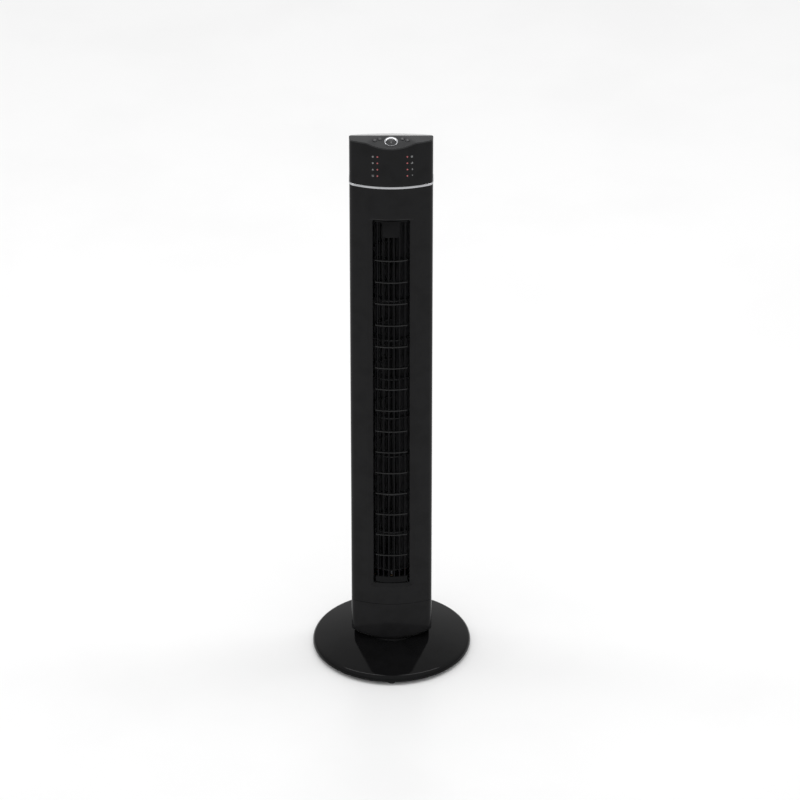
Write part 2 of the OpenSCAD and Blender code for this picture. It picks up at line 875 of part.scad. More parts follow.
base_disc();
base_weight();
bottom_cover();
rubber_feet();
cover_screws();
swivel_plate();
plate_screws();
slide_ring();
swing_arm();
spindle_nut();
foot_housing();
chassis_deck();
deck_screws();
front_shell();
rear_shell();
shell_screws();
intake_grille();
intake_filter();
outlet_grille();
rear_guide();
vortex_tongue();
motor_lower_cap();
motor_upper_cap();
stator_core();
stator_windings();
motor_bushes();
motor_screws();
swing_motor();
cord_gland();
upper_bearing_plate();
bearing_mount();
bearing_bush();
power_board();
run_capacitor();
handle_cup();
trim_ring();
head_deck();
head_front();
head_rear();
control_panel();
button_ring();
display_board();
red_leds();
control_board();
tact_switches();
impeller_wheel();
motor_rotor();
motor_shaft();
drive_hub();
stub_shaft();
swing_crank();
power_button();
timer_button();
mode_button();
speed_button();
swing_button();
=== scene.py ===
import math

import bmesh
import bpy
import numpy as np
from mathutils import Matrix, Vector
from mathutils.geometry import delaunay_2d_cdt


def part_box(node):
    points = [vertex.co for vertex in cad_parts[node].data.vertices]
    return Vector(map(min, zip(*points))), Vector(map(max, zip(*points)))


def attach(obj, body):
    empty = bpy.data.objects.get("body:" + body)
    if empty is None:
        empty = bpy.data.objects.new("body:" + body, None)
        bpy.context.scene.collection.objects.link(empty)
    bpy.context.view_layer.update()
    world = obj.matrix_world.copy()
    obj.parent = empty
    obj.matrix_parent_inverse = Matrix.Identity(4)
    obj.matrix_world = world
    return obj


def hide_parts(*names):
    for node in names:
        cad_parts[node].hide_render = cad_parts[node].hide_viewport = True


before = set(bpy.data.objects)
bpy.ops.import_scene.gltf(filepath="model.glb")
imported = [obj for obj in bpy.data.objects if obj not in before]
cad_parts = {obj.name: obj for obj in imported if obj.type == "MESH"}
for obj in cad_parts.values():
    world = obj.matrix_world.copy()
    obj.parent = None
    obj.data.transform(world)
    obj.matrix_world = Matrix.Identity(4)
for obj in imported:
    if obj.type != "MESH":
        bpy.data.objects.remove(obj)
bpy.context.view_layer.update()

# ---- sizes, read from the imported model; geometry below is in millimetres -------------------

MM = 0.001


def box_mm(node):
    low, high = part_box(node)
    return np.array(low) / MM, np.array(high) / MM


front_low, front_high = box_mm("front_shell")
foot_low, foot_high = box_mm("foot_housing")
trim_low, trim_high = box_mm("trim_ring")
head_low, _ = box_mm("head_front")
_, panel_high = box_mm("control_panel")

SEAM = 0.15                                   # half the gap at a visible parting line
WALL = 2.5                                    # thickness of the shells
HALF_W = float(front_high[0])
FRONT_Y = float(front_low[1])
REAR_Y = float(foot_high[1])
SPLIT_Y = float(front_high[1]) + SEAM / 2
FOOT_Z = float(foot_low[2])
SEAM_Z = float(foot_high[2]) + SEAM
TRIM_Z = float(trim_low[2])
HEAD_Z = float(head_low[2])
TOP_Z = float(panel_high[2])

# ---- the column's section ------------------------------------------------------------------

CORNER_R = 12.0
BULGE = 24.0
CORNER_X = HALF_W - CORNER_R
CORNER_Y = FRONT_Y + BULGE
FRONT_R = (CORNER_X**2 + BULGE**2 - CORNER_R**2) / (2 * (BULGE - CORNER_R))
FRONT_CY = FRONT_Y + FRONT_R
FRONT_A = math.asin(CORNER_X / (FRONT_R - CORNER_R))
REAR_CY = REAR_Y - HALF_W

# Lengths of the half outline's stretches: front arc, corner, straight side, round back
LEN_FRONT = FRONT_R * FRONT_A
LEN_CORNER = CORNER_R * (math.pi / 2 - FRONT_A)
LEN_SIDE = REAR_CY - CORNER_Y
LEN_REAR = HALF_W * math.pi / 2
U_SIDE = LEN_FRONT + LEN_CORNER
U_REAR = U_SIDE + LEN_SIDE
HALF_LEN = U_REAR + LEN_REAR
U_SPLIT = U_SIDE + SPLIT_Y - CORNER_Y


def section(u, inset=0.0):
    """Points and outward normals of the column's outline; u is the length along it from the front."""
    u = (np.asarray(u, float) + HALF_LEN) % (2 * HALF_LEN) - HALF_LEN
    s, side = np.abs(u), np.where(u < 0, -1.0, 1.0)
    inset = np.broadcast_to(np.asarray(inset, float), s.shape)
    a_front = s / FRONT_R
    a_corner = FRONT_A + (s - LEN_FRONT) / CORNER_R
    a_rear = (s - U_REAR) / HALF_W
    where = [s < LEN_FRONT, s < U_SIDE, s < U_REAR]
    nx = np.select(where, [np.sin(a_front), np.sin(a_corner), 1.0], np.cos(a_rear))
    ny = np.select(where, [-np.cos(a_front), -np.cos(a_corner), 0.0], np.sin(a_rear))
    cx = np.select(where, [0.0, CORNER_X, CORNER_X], 0.0)
    cy = np.select(where, [FRONT_CY, CORNER_Y, CORNER_Y + s - U_SIDE], REAR_CY)
    r = np.select(where, [FRONT_R, CORNER_R, CORNER_R], HALF_W) - inset
    points = np.stack([side * (cx + r * nx), cy + r * ny], -1)
    return points, np.stack([side * nx, ny], -1)


def smooth_min(a, b, k):
    h = np.maximum(k - np.abs(a - b), 0) / k
    return np.minimum(a, b) - h * h * k / 4


CORNER_STEP, PLAIN_STEP = 0.9, 2.6            # lengths of the outline's facets


def section_steps(u0, u1):
    """Values of u from u0 to u1, closer together round the corners."""
    marks = [-2 * HALF_LEN - LEN_FRONT, -U_SIDE, -LEN_FRONT, LEN_FRONT, U_SIDE, U_REAR,
             2 * HALF_LEN - U_REAR, 2 * HALF_LEN - U_SIDE, 2 * HALF_LEN - LEN_FRONT]
    cuts = [u0] + [m for m in marks if u0 + 0.5 < m < u1 - 0.5] + [u1]
    out = []
    for a, b in zip(cuts, cuts[1:]):
        middle = abs((0.5 * (a + b) + HALF_LEN) % (2 * HALF_LEN) - HALF_LEN)
        step = CORNER_STEP if LEN_FRONT < middle < U_SIDE else PLAIN_STEP
        out += list(np.linspace(a, b, max(2, round((b - a) / step) + 1))[:-1])
    return np.array(out + [u1])


def front_u(x):
    return FRONT_R * math.asin(x / FRONT_R)


def rear_u(x):
    return U_REAR + HALF_W * math.acos(abs(x) / HALF_W) if x >= 0 else 2 * HALF_LEN - rear_u(-x)


# ---- mesh building -------------------------------------------------------------------------

class Build:
    """Collects points with their normals, in millimetres, and the faces between them."""

    def __init__(self):
        self.points, self.normals, self.faces, self.count = [], [], [], 0

    def add(self, points, normals):
        points, normals = np.asarray(points, float), np.asarray(normals, float)
        normals = normals / np.maximum(np.linalg.norm(normals, axis=1, keepdims=True), 1e-9)
        self.points.append(points)
        self.normals.append(normals)
        first = self.count
        self.count += len(points)
        return np.arange(first, self.count)

    def strip(self, a, b, closed=True):
        """Quads between two rows of the same number of points."""
        n = len(a)
        for i in range(n if closed else n - 1):
            j = (i + 1) % n
            self.faces.append((a[i], a[j], b[j], b[i]))

    def level(self, xy, z, normals):
        """A row of points from their places in plan and their height."""
        return self.add(np.column_stack([xy, np.broadcast_to(z, len(xy))]), normals)

    def band(self, rows, closed=True):
        """Rows of (places in plan, height, normals), each joined to the next."""
        rows = [self.level(*row) for row in rows]
        for a, b in zip(rows, rows[1:]):
            self.strip(a, b, closed)
        return rows

    def fill(self, ids, faces, inside):
        """Those of the faces, given as places in ids, that lie inside."""
        self.faces += [tuple(ids[list(f)]) for f, ok in zip(faces, inside) if ok]

    def arrays(self):
        points, normals = np.concatenate(self.points), np.concatenate(self.normals)
        faces = []
        for f in self.faces:
            f = [int(i) for i in f]
            p = points[f]
            area = sum(np.cross(p[k] - p[0], p[k + 1] - p[0]) for k in range(1, len(f) - 1))
            faces.append(f[::-1] if area @ normals[f].sum(0) < 0 else f)
        return points, normals, faces


SHARP = math.radians(32)                      # edges turning more than this are drawn sharp


def mesh_object(name, points, faces, normals=None):
    mesh = bpy.data.meshes.new(name)
    mesh.from_pydata([tuple(p) for p in np.asarray(points) * MM], [], faces)
    mesh.validate()
    mesh.shade_smooth()
    if normals is not None:
        mesh.normals_split_custom_set_from_vertices([tuple(n) for n in normals])
    else:
        mesh.set_sharp_from_angle(angle=SHARP)
    obj = bpy.data.objects.new(name, mesh)
    bpy.context.scene.collection.objects.link(obj)
    return obj


def level_normals(normal):
    return np.column_stack([normal, np.zeros(len(normal))])


def grid_faces(rows, n, closed=False):
    """Quads between rows of n points, each row a ring; closed joins the last row to the first."""
    faces = []
    for k in range(rows if closed else rows - 1):
        a, b = k * n, (k + 1) % rows * n
        faces += [[a + i, a + (i + 1) % n, b + (i + 1) % n, b + i] for i in range(n)]
    return faces


def built(name, build):
    points, normals, faces = build.arrays()
    return mesh_object(name, points, faces, normals)


def install(obj, body, material, replaces=()):
    """Gives a piece its material, its body and its slot, and hides the CAD nodes it stands for."""
    obj.data.materials.append(material)
    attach(obj, body)
    if replaces:
        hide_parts(*replaces)
    return obj


def fillet(r, depth, steps=4):
    """Profile of a rounded edge: (distance from the edge, depth, tilt of the normal)."""
    turns = [math.pi / 2 * k / steps for k in range(steps + 1)]
    return [(r * (1 - math.sin(a)), r * (1 - math.cos(a)), a) for a in turns] + [(0.0, depth, math.pi / 2)]


class Hole:
    """A rounded rectangle in (u, z). Its loop can be grown by e into the material round it."""

    def __init__(self, cu, cz, hu, hz, r, profile, corner=5, side=1, grow_z=1.0, sink=None):
        self.cu, self.cz, self.hu, self.hz, self.r = cu, cz, hu, hz, r
        self.profile, self.corner, self.side = profile, corner, side
        self.grow_z, self.sink = grow_z, sink

    def size(self, e):
        ez = e * self.grow_z
        return self.hu + e, self.hz + ez, max(self.r + e, 0.01), max(self.r + ez, 0.01)

    def loop(self, e):
        hu, hz, ru, rz = self.size(e)
        corners = [(1, 1), (-1, 1), (-1, -1), (1, -1)]

        def at(quarter, turn):
            su, sz = corners[quarter % 4]
            a = math.radians(90 * (quarter + turn))
            return np.array([self.cu + su * (hu - ru) + ru * math.cos(a),
                             self.cz + sz * (hz - rz) + rz * math.sin(a)])

        points = []
        for quarter in range(4):
            points += [at(quarter, k / self.corner) for k in range(self.corner + 1)]
            a, b = points[-1], at(quarter + 1, 0)
            points += [a + (b - a) * t for t in np.linspace(0, 1, self.side + 1)[1:-1]]
        return np.array(points)

    def covers(self, p, e):
        hu, hz, ru, rz = self.size(e)
        qu, qz = np.abs(p[:, 0] - self.cu) - (hu - ru), np.abs(p[:, 1] - self.cz) - (hz - rz)
        in_corner = np.where((qu > 0) & (qz > 0), (qu / ru) ** 2 + (qz / rz) ** 2 <= 1, True)
        return (qu <= ru) & (qz <= rz) & in_corner


class Edge:
    """The outer edge of a wall: u from u0 to u1, z between two heights or curves."""

    def __init__(self, u0, u1, bottom, top, profile, rows=10.0):
        self.u0, self.u1, self.profile, self.rows = u0, u1, profile, rows
        self.bottom = bottom if callable(bottom) else (lambda u: np.full(np.shape(u), float(bottom)))
        self.top = top if callable(top) else (lambda u: np.full(np.shape(u), float(top)))
        self.us = section_steps(u0, u1)

    def loop(self, e):
        us = self.u0 + e + (self.us - self.u0) * (self.u1 - self.u0 - 2 * e) / (self.u1 - self.u0)
        low, high = self.bottom(us) + e, self.top(us) - e
        ends = np.array([self.u1])
        count = max(3, round(float(self.top(ends)[0] - self.bottom(ends)[0]) / self.rows))
        up = np.linspace(0, 1, count + 1)[1:-1]
        right = [(us[-1], low[-1] + (high[-1] - low[-1]) * t) for t in up]
        left = [(us[0], high[0] + (low[0] - high[0]) * t) for t in up]
        return np.array(list(zip(us, low)) + right + list(zip(us[::-1], high[::-1])) + left)

    def covers(self, p, e):
        return ((p[:, 0] > self.u0 + e) & (p[:, 0] < self.u1 - e)
                & (p[:, 1] > self.bottom(p[:, 0]) + e) & (p[:, 1] < self.top(p[:, 0]) - e))


def triangulate(loops, inner):
    """Constrained triangulation of loops and loose points: points, triangles, index of each loop's points."""
    points = [tuple(p) for loop in loops for p in loop] + [tuple(p) for p in inner]
    edges, start = [], 0
    for loop in loops:
        n = len(loop)
        edges += [(start + i, start + (i + 1) % n) for i in range(n)]
        start += n
    out, _, faces, origin, _, _ = delaunay_2d_cdt([Vector(p) for p in points], edges, [], 0, 1e-6)
    where = {}
    for new, olds in enumerate(origin):
        for old in olds:
            where[old] = new
    index, start = [], 0
    for loop in loops:
        index.append(np.array([where[start + i] for i in range(len(loop))]))
        start += len(loop)
    return np.array([tuple(p) for p in out]), faces, index


def wall_point(p, depth):
    """3-D place and normal of a point (u, z) at a depth below the column's surface."""
    xy, normal = section(p[:, 0], depth)
    return np.column_stack([xy, p[:, 1]]), level_normals(normal)


def wall_skin(build, edge, holes, e_edge, e_holes, depth, spacing, flip):
    loops = [edge.loop(e_edge)] + [h.loop(e) for h, e in zip(holes, e_holes)]
    us = edge.us[1:-1]
    z0, z1 = float(edge.bottom(us).min()), float(edge.top(us).max())
    zs = np.linspace(z0, z1, max(3, round((z1 - z0) / spacing)) + 1)[1:-1]
    grid = np.array([(u, z) for z in zs for u in us])
    keep = edge.covers(grid, e_edge + 0.6)
    for h, e in zip(holes, e_holes):
        keep &= ~h.covers(grid, e + 0.5)
    points, faces, index = triangulate(loops, grid[keep])
    middle = np.array([points[list(f)].mean(0) for f in faces])
    inside = edge.covers(middle, e_edge - 0.02)
    for h, e in zip(holes, e_holes):
        inside &= ~h.covers(middle, e - 0.01)
    place, normal = wall_point(points, depth)
    ids = build.add(place, -normal if flip else normal)
    build.fill(ids, faces, inside)
    return [ids[i] for i in index]


def wall_rim(build, loop_of, profile, first):
    """The rounded edge and the cut wall of one loop, from the skin's own row of points inwards."""
    row = first
    for e, depth, tilt in profile[1:]:
        p, q = loop_of(e), loop_of(e - 0.05)
        place, normal = wall_point(p, depth)
        aim = q - p
        aim /= np.maximum(np.linalg.norm(aim, axis=1, keepdims=True), 1e-9)
        along = np.column_stack([-normal[:, 1], normal[:, 0]])
        across = np.column_stack([along * aim[:, :1], aim[:, 1]])
        ids = build.add(place, math.cos(tilt) * normal + math.sin(tilt) * across)
        build.strip(row, ids)
        row = ids
    return row


def wall_piece(name, edge, holes=(), thickness=WALL, spacing=10.0):
    """A closed piece of the column's wall: outer skin, rounded edges and holes, and the inner skin."""
    build = Build()
    starts = [h.profile[0][0] for h in holes]
    rows = wall_skin(build, edge, holes, edge.profile[0][0], starts, 0.0, spacing, False)
    wall_rim(build, edge.loop, edge.profile, rows[0])
    for h, row in zip(holes, rows[1:]):
        last = wall_rim(build, h.loop, h.profile, row)
        if h.sink is not None:
            sink_hole(build, h, last)
    through = [h for h in holes if h.sink is None]
    ends = [h.profile[-1][0] for h in through]
    wall_skin(build, edge, through, edge.profile[-1][0], ends, thickness, spacing * 2, True)
    return built(name, build)


def sink_hole(build, hole, row):
    """Carries a hole straight forward from the back to hole.sink and closes it."""
    points = np.concatenate(build.points)[row]
    centre = points.mean(0)
    inward = centre - points
    inward[:, 1] = 0
    deep = points.copy()
    deep[:, 1] = hole.sink
    top = build.add(points, inward)
    low = build.add(deep, inward)
    build.strip(top, low)
    build.faces.append(tuple(build.add(deep, np.tile([0.0, 1.0, 0.0], (len(deep), 1)))))


def rounded(points, radii, steps=5):
    """Rounds the corners of an open 2-D line with arcs."""
    points = [np.array(p, float) for p in points]
    out = [points[0]]
    for a, b, c, r in zip(points, points[1:], points[2:], radii[1:-1]):
        if r <= 0:
            out.append(b)
            continue
        d0, d1 = (a - b) / np.linalg.norm(a - b), (c - b) / np.linalg.norm(c - b)
        half = math.acos(float(np.clip(d0 @ d1, -1, 1))) / 2
        reach = r / math.tan(half)
        centre = b + (d0 + d1) / np.linalg.norm(d0 + d1) * r / math.sin(half)
        p0, p1 = b + d0 * reach - centre, b + d1 * reach - centre
        turn = math.atan2(p0[0] * p1[1] - p0[1] * p1[0], float(p0 @ p1))
        for k in range(steps + 1):
            a_k = turn * k / steps
            c_k, s_k = math.cos(a_k), math.sin(a_k)
            out.append(centre + np.array([c_k * p0[0] - s_k * p0[1], s_k * p0[0] + c_k * p0[1]]))
    out.append(points[-1])
    return np.array(out)


def lathe(name, profile, segments=96, frame_matrix=None, closed=False):
    """Turns a line of (radius, height) about Z. Points on the axis become poles."""
    points, faces, rows = [], [], []
    for r, z in profile:
        if r < 1e-6:
            rows.append([len(points)] * segments)
            points.append((0.0, 0.0, z))
        else:
            rows.append(list(range(len(points), len(points) + segments)))
            turns = [2 * math.pi * k / segments for k in range(segments)]
            points += [(r * math.cos(a), r * math.sin(a), z) for a in turns]
    pairs = list(zip(rows, rows[1:])) + ([(rows[-1], rows[0])] if closed else [])
    for a, b in pairs:
        for k in range(segments):
            j = (k + 1) % segments
            loop = [a[k], a[j], b[j], b[k]]
            loop = [v for i, v in enumerate(loop) if v not in loop[:i]]
            if len(loop) > 2:
                faces.append(loop)
    points = np.array(points)
    if frame_matrix is not None:
        points = moved(points, frame_matrix)
    return outward(mesh_object(name, points, faces))


def moved(points, matrix):
    m = np.array(matrix)
    return points @ m[:3, :3].T + m[:3, 3]


def outward(obj, sharp=SHARP):
    """Makes every face of a closed mesh point outwards."""
    bm = bmesh.new()
    bm.from_mesh(obj.data)
    bmesh.ops.remove_doubles(bm, verts=bm.verts, dist=1e-7)
    bmesh.ops.recalc_face_normals(bm, faces=bm.faces)
    bm.to_mesh(obj.data)
    bm.free()
    obj.data.shade_smooth()
    obj.data.set_sharp_from_angle(angle=sharp)
    return obj


def joined(name, parts):
    """Several (points, faces) in one object."""
    points, faces, start = [], [], 0
    for p, f in parts:
        points.append(np.asarray(p, float))
        faces += [[start + i for i in face] for face in f]
        start += len(p)
    return outward(mesh_object(name, np.concatenate(points), faces))


def sweep(rows):
    """Quads through a list of rings of points, with the first and last closed by a face."""
    n = len(rows[0])
    last = (len(rows) - 1) * n
    faces = grid_faces(len(rows), n) + [list(range(n))[::-1], list(range(last, last + n))]
    return np.concatenate(rows), faces


# ---- materials -----------------------------------------------------------------------------

def new_material(name):
    material = bpy.data.materials.new(name)
    material.use_nodes = True
    return material, material.node_tree, material.node_tree.nodes["Principled BSDF"]


def noise(tree, scale, detail=4.0, stretch=(1, 1, 1)):
    """Noise in the piece's own coordinates; scale is features per metre."""
    place = tree.nodes.new("ShaderNodeTexCoord")
    mapping = tree.nodes.new("ShaderNodeMapping")
    mapping.inputs["Scale"].default_value = stretch
    texture = tree.nodes.new("ShaderNodeTexNoise")
    texture.inputs["Scale"].default_value = scale
    texture.inputs["Detail"].default_value = detail
    tree.links.new(place.outputs["Object"], mapping.inputs["Vector"])
    tree.links.new(mapping.outputs["Vector"], texture.inputs["Vector"])
    return texture.outputs["Fac"]


def spread(tree, value, low, high, from_low=0.3, from_high=0.7):
    node = tree.nodes.new("ShaderNodeMapRange")
    node.inputs["From Min"].default_value = from_low
    node.inputs["From Max"].default_value = from_high
    node.inputs["To Min"].default_value = low
    node.inputs["To Max"].default_value = high
    tree.links.new(value, node.inputs["Value"])
    return node.outputs["Result"]


def ramp(tree, value, *stops):
    node = tree.nodes.new("ShaderNodeValToRGB")
    for element, (position, colour) in zip(node.color_ramp.elements, stops):
        element.position, element.color = position, (*colour, 1)
    tree.links.new(value, node.inputs["Fac"])
    return node.outputs["Color"]


def tint(tree, value, dark, light):
    return ramp(tree, value, (0.35, dark), (0.555, light))


def waves(tree, direction, per_metre, distortion=0.0):
    place = tree.nodes.new("ShaderNodeTexCoord")
    wave = tree.nodes.new("ShaderNodeTexWave")
    wave.bands_direction = direction
    wave.inputs["Scale"].default_value = per_metre
    wave.inputs["Distortion"].default_value = distortion
    tree.links.new(place.outputs["Object"], wave.inputs["Vector"])
    return wave.outputs["Fac"]


def bump(tree, shader, height, strength, distance):
    node = tree.nodes.new("ShaderNodeBump")
    node.inputs["Strength"].default_value = strength
    node.inputs["Distance"].default_value = distance
    tree.links.new(height, node.inputs["Height"])
    tree.links.new(node.outputs["Normal"], shader.inputs["Normal"])


def feed(tree, shader, base, colours, gloss, rough):
    """Colour from one pattern and roughness from another."""
    tree.links.new(tint(tree, base, *colours), shader.inputs["Base Color"])
    tree.links.new(spread(tree, gloss, *rough), shader.inputs["Roughness"])


def plastic(name, dark, light, rough, ior=1.45, grain=900.0, relief=0.05, mottle=40.0):
    """Moulded plastic: slight cloudiness of colour, uneven gloss and a fine skin."""
    material, tree, shader = new_material(name)
    feed(tree, shader, noise(tree, mottle), (dark, light), noise(tree, mottle * 2.3), rough)
    shader.inputs["IOR"].default_value = ior
    bump(tree, shader, noise(tree, grain, 2.0), relief, 0.0002)
    return material


def metal(name, dark, light, rough, grain=(1, 1, 1), relief=0.05):
    material, tree, shader = new_material(name)
    clouds, wear = noise(tree, 60.0, stretch=grain), noise(tree, 220.0, stretch=grain)
    feed(tree, shader, clouds, (dark, light), wear, rough)
    shader.inputs["Metallic"].default_value = 1.0
    bump(tree, shader, noise(tree, 1400.0, 2.0, grain), relief, 0.0001)
    return material


def banded_metal(name, dark, light, rough, per_metre):
    """Stacked sheets or wound wire: fine level bands."""
    material, tree, shader = new_material(name)
    bands = waves(tree, "Z", per_metre, 0.4)
    feed(tree, shader, bands, (dark, light), noise(tree, 150.0), rough)
    shader.inputs["Metallic"].default_value = 1.0
    bump(tree, shader, bands, 0.5, 0.0003)
    return material


def grey(level, blue):
    return level, level, blue


# The column's copy of the gloss black: its base colour, about three times the base's copy, is painted sheen
# standing in for the face's reflection, with the real reflection kept weak by the low IOR.
GLOSS_PAINTED_SHEEN = plastic("gloss_black", grey(0.0136, 0.0141), grey(0.0160, 0.0166), (0.06, 0.11), 1.15, 260.0, 0.012)
GLOSS_BASE = plastic("gloss_black_base", grey(0.0045, 0.0047), grey(0.0055, 0.0058), (0.04, 0.08),
                     1.2, 260.0, 0.012)
GRILLE = plastic("grille_black", grey(0.0045, 0.0049), grey(0.0065, 0.0071), (0.24, 0.36), 1.16, 1500.0, 0.06)
# Lighter copy of the grille's black for the rings alone: its base colour, about twice the bars', is a painted
# highlight where the rings catch the light from above.
GRILLE_RING_PAINTED_HIGHLIGHT = plastic("grille_ring_painted_highlight", grey(0.0095, 0.01), grey(0.0135, 0.014), (0.16, 0.26),
                      1.38, 1500.0, 0.04)
MATTE = plastic("matte_black", grey(0.008, 0.009), grey(0.013, 0.014), (0.5, 0.66), 1.45, 1800.0, 0.35)
CONSOLE = plastic("console_grey", (0.015, 0.0152, 0.0163), (0.022, 0.0224, 0.0238), (0.24, 0.34),
                  1.36, 2400.0, 0.12)
KEY = plastic("key_black", grey(0.016, 0.018), grey(0.024, 0.026), (0.24, 0.34), 1.45, 1200.0, 0.05)
INNER = plastic("inner_black", grey(0.012, 0.013), grey(0.02, 0.022), (0.38, 0.52), 1.45, 900.0, 0.12)
RUBBER = plastic("rubber", grey(0.012, 0.012), grey(0.024, 0.023), (0.7, 0.88), 1.5, 1400.0, 0.3)
NYLON = plastic("white_plastic", (0.66, 0.64, 0.58), (0.76, 0.74, 0.68), (0.38, 0.5), 1.53, 700.0, 0.08)
BOARD = plastic("board_green", (0.012, 0.055, 0.025), (0.02, 0.085, 0.04), (0.3, 0.42),
                1.5, 500.0, 0.15, 300.0)
PRINT = plastic("print_grey", grey(0.16, 0.163), grey(0.22, 0.223), (0.42, 0.55), 1.45, 1500.0, 0.05)
CHROME = metal("chrome", (0.42, 0.425, 0.44), (0.50, 0.505, 0.52), (0.08, 0.16))
STEEL = metal("steel", (0.42, 0.43, 0.45), (0.56, 0.57, 0.59), (0.26, 0.38), (1, 1, 0.2), 0.12)
WEIGHT = metal("weight_steel", (0.16, 0.17, 0.18), (0.25, 0.26, 0.27), (0.4, 0.55))
ALLOY = metal("motor_alloy", (0.5, 0.51, 0.53), (0.62, 0.63, 0.65), (0.34, 0.48), relief=0.2)
BRONZE = metal("bronze", (0.42, 0.29, 0.15), (0.54, 0.38, 0.2), (0.35, 0.48), relief=0.25)
CORE = banded_metal("laminations", (0.16, 0.17, 0.18), (0.3, 0.31, 0.33), (0.4, 0.5), 300.0)
COPPER = banded_metal("copper", (0.42, 0.16, 0.06), (0.66, 0.3, 0.13), (0.25, 0.38), 420.0)


def led_material():
    material, tree, shader = new_material("led_red")
    reds = (0.26, 0.06, 0.065), (0.36, 0.09, 0.095)
    feed(tree, shader, noise(tree, 900.0), reds, noise(tree, 400.0), (0.12, 0.22))
    glow = tint(tree, noise(tree, 700.0), (0.8, 0.20, 0.22), (0.95, 0.28, 0.30))
    tree.links.new(glow, shader.inputs["Emission Color"])
    shader.inputs["Emission Strength"].default_value = 0.095
    return material


LED = led_material()


def mesh_cloth():
    """Fine woven dust mesh: two sets of crossing threads."""
    material, tree, shader = new_material("dust_mesh")
    cross = tree.nodes.new("ShaderNodeMath")
    cross.operation = "MAXIMUM"
    for socket, direction in zip(cross.inputs, "ZX"):
        tree.links.new(waves(tree, direction, 240.0), socket)
    thread = cross.outputs["Value"]
    feed(tree, shader, thread, (grey(0.003, 0.003), grey(0.02, 0.021)), thread, (0.8, 0.55))
    bump(tree, shader, thread, 0.6, 0.0003)
    return material


CLOTH = mesh_cloth()

CAD_LOOKS = {
    STEEL: "cover_screws plate_screws deck_screws shell_screws motor_screws swing_arm spindle_nut"
           " motor_shaft stub_shaft",
    INNER: "chassis_deck rear_guide vortex_tongue upper_bearing_plate head_deck drive_hub",
    MATTE: "bottom_cover swivel_plate", RUBBER: "rubber_feet bearing_mount cord_gland",
    NYLON: "slide_ring run_capacitor swing_crank", BOARD: "power_board display_board control_board",
    ALLOY: "motor_lower_cap motor_upper_cap swing_motor", BRONZE: "motor_bushes bearing_bush",
    CORE: "stator_core motor_rotor", COPPER: "stator_windings", WEIGHT: "base_weight",
    KEY: "tact_switches", CLOTH: "intake_filter",
}
for look, node_names in CAD_LOOKS.items():
    for node_name in node_names.split():
        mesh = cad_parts[node_name].data
        mesh.materials.clear()
        mesh.materials.append(look)

# ---- base ----------------------------------------------------------------------------------

DOME_R, DOME_APEX = 400.0, 37.5
SHOULDER_R = 10.0                             # round shoulder between the base's rim and its dome
BASE_WALL, RIM_FOLD = 3.0, 3.2                # thickness of the shell, and of its lower rim
POCKET_FLOOR_Z = 26.0
POCKET_GAP = 1.5                              # between the pocket's wall and the swivel plate
PLATE_HOLE_R = 9.0


def dome_height(r):
    return DOME_APEX - r * r / (2 * DOME_R)


def make_base():
    """The base's shell: a short rim, a round shoulder, the dome and the swivel plate's pocket."""
    low, high = box_mm("base_disc")
    r, z0 = float(high[0]), float(low[2])
    pocket_r = float(box_mm("swivel_plate")[1][0]) + POCKET_GAP
    slope = math.asin((r - SHOULDER_R) / DOME_R)
    crown = r - SHOULDER_R + SHOULDER_R * math.sin(slope)
    centre_z = dome_height(crown) - SHOULDER_R * math.cos(slope)
    rim_r = r - RIM_FOLD
    foot = rounded([(rim_r, z0 + BASE_WALL), (rim_r, z0), (r, z0), (r, centre_z)], [0, 0, 0.8, 0])
    shoulder = [(r - SHOULDER_R + SHOULDER_R * math.cos(a), centre_z + SHOULDER_R * math.sin(a))
                for a in np.linspace(0, math.pi / 2 - slope, 15)[1:]]
    dome = [(x, dome_height(x)) for x in np.linspace(crown, pocket_r + 3, 18)[1:]]
    lip = rounded([(pocket_r + 2.5, dome_height(pocket_r + 2.5)), (pocket_r, dome_height(pocket_r)),
                   (pocket_r, POCKET_FLOOR_Z), (PLATE_HOLE_R, POCKET_FLOOR_Z),
                   (PLATE_HOLE_R, POCKET_FLOOR_Z - BASE_WALL)], [0, 0.8, 0.6, 0.4, 0])
    under = [(pocket_r + 3, POCKET_FLOOR_Z - BASE_WALL)]
    under += [(x, dome_height(x) - BASE_WALL)
              for x in [pocket_r + 3, *np.linspace(pocket_r + 12, r - SHOULDER_R, 6)]]
    profile = [tuple(p) for p in foot] + shoulder + dome + [tuple(p) for p in lip] + under
    return lathe("base_disc_shell", profile, segments=192, closed=True)


install(make_base(), "base", GLOSS_BASE, ["base_disc"])

# ---- foot housing --------------------------------------------------------------------------

FOOT_ROUND_R, FOOT_ROUND_Y, FOOT_TAPER = 88.0, 42.0, 16.0
FOOT_EDGE = 5.0                               # how far the lower edge draws in
FOOT_FLOOR = 3.0                              # thickness of the foot's floor
BEARING_R = 13.95                             # hole that turns on the spindle


def foot_point(u, inset, z):
    """A point of the foot's surface: the column's section, cut to a rounder shape towards the bottom."""
    xy, _ = section(u, inset)
    rise = min(1.0, max(0.0, z - FOOT_Z) / FOOT_TAPER)
    offset = xy - np.array([0.0, FOOT_ROUND_Y])
    rho = np.hypot(offset[:, 0], offset[:, 1])
    new = smooth_min(rho, np.full(len(rho), FOOT_ROUND_R + FOOT_TAPER * rise), 4.0)
    return np.column_stack([offset * (new / rho)[:, None] + [0.0, FOOT_ROUND_Y], np.full(len(rho), z)])


TAPER_T = 0.6                                 # where on its profile the foot's taper ends


def foot_profile(t):
    """(inset, height above the foot's lower edge) for t from 0, at the lower edge, to 1, at the seam."""
    if t < TAPER_T:
        lift = FOOT_TAPER * (t / TAPER_T) ** 2.2
        return FOOT_EDGE * (1 - math.sqrt(lift / FOOT_TAPER)) ** 1.6, lift
    return 0.0, FOOT_TAPER + (SEAM_Z - SEAM - FOOT_Z - FOOT_TAPER) * (t - TAPER_T) / (1 - TAPER_T)


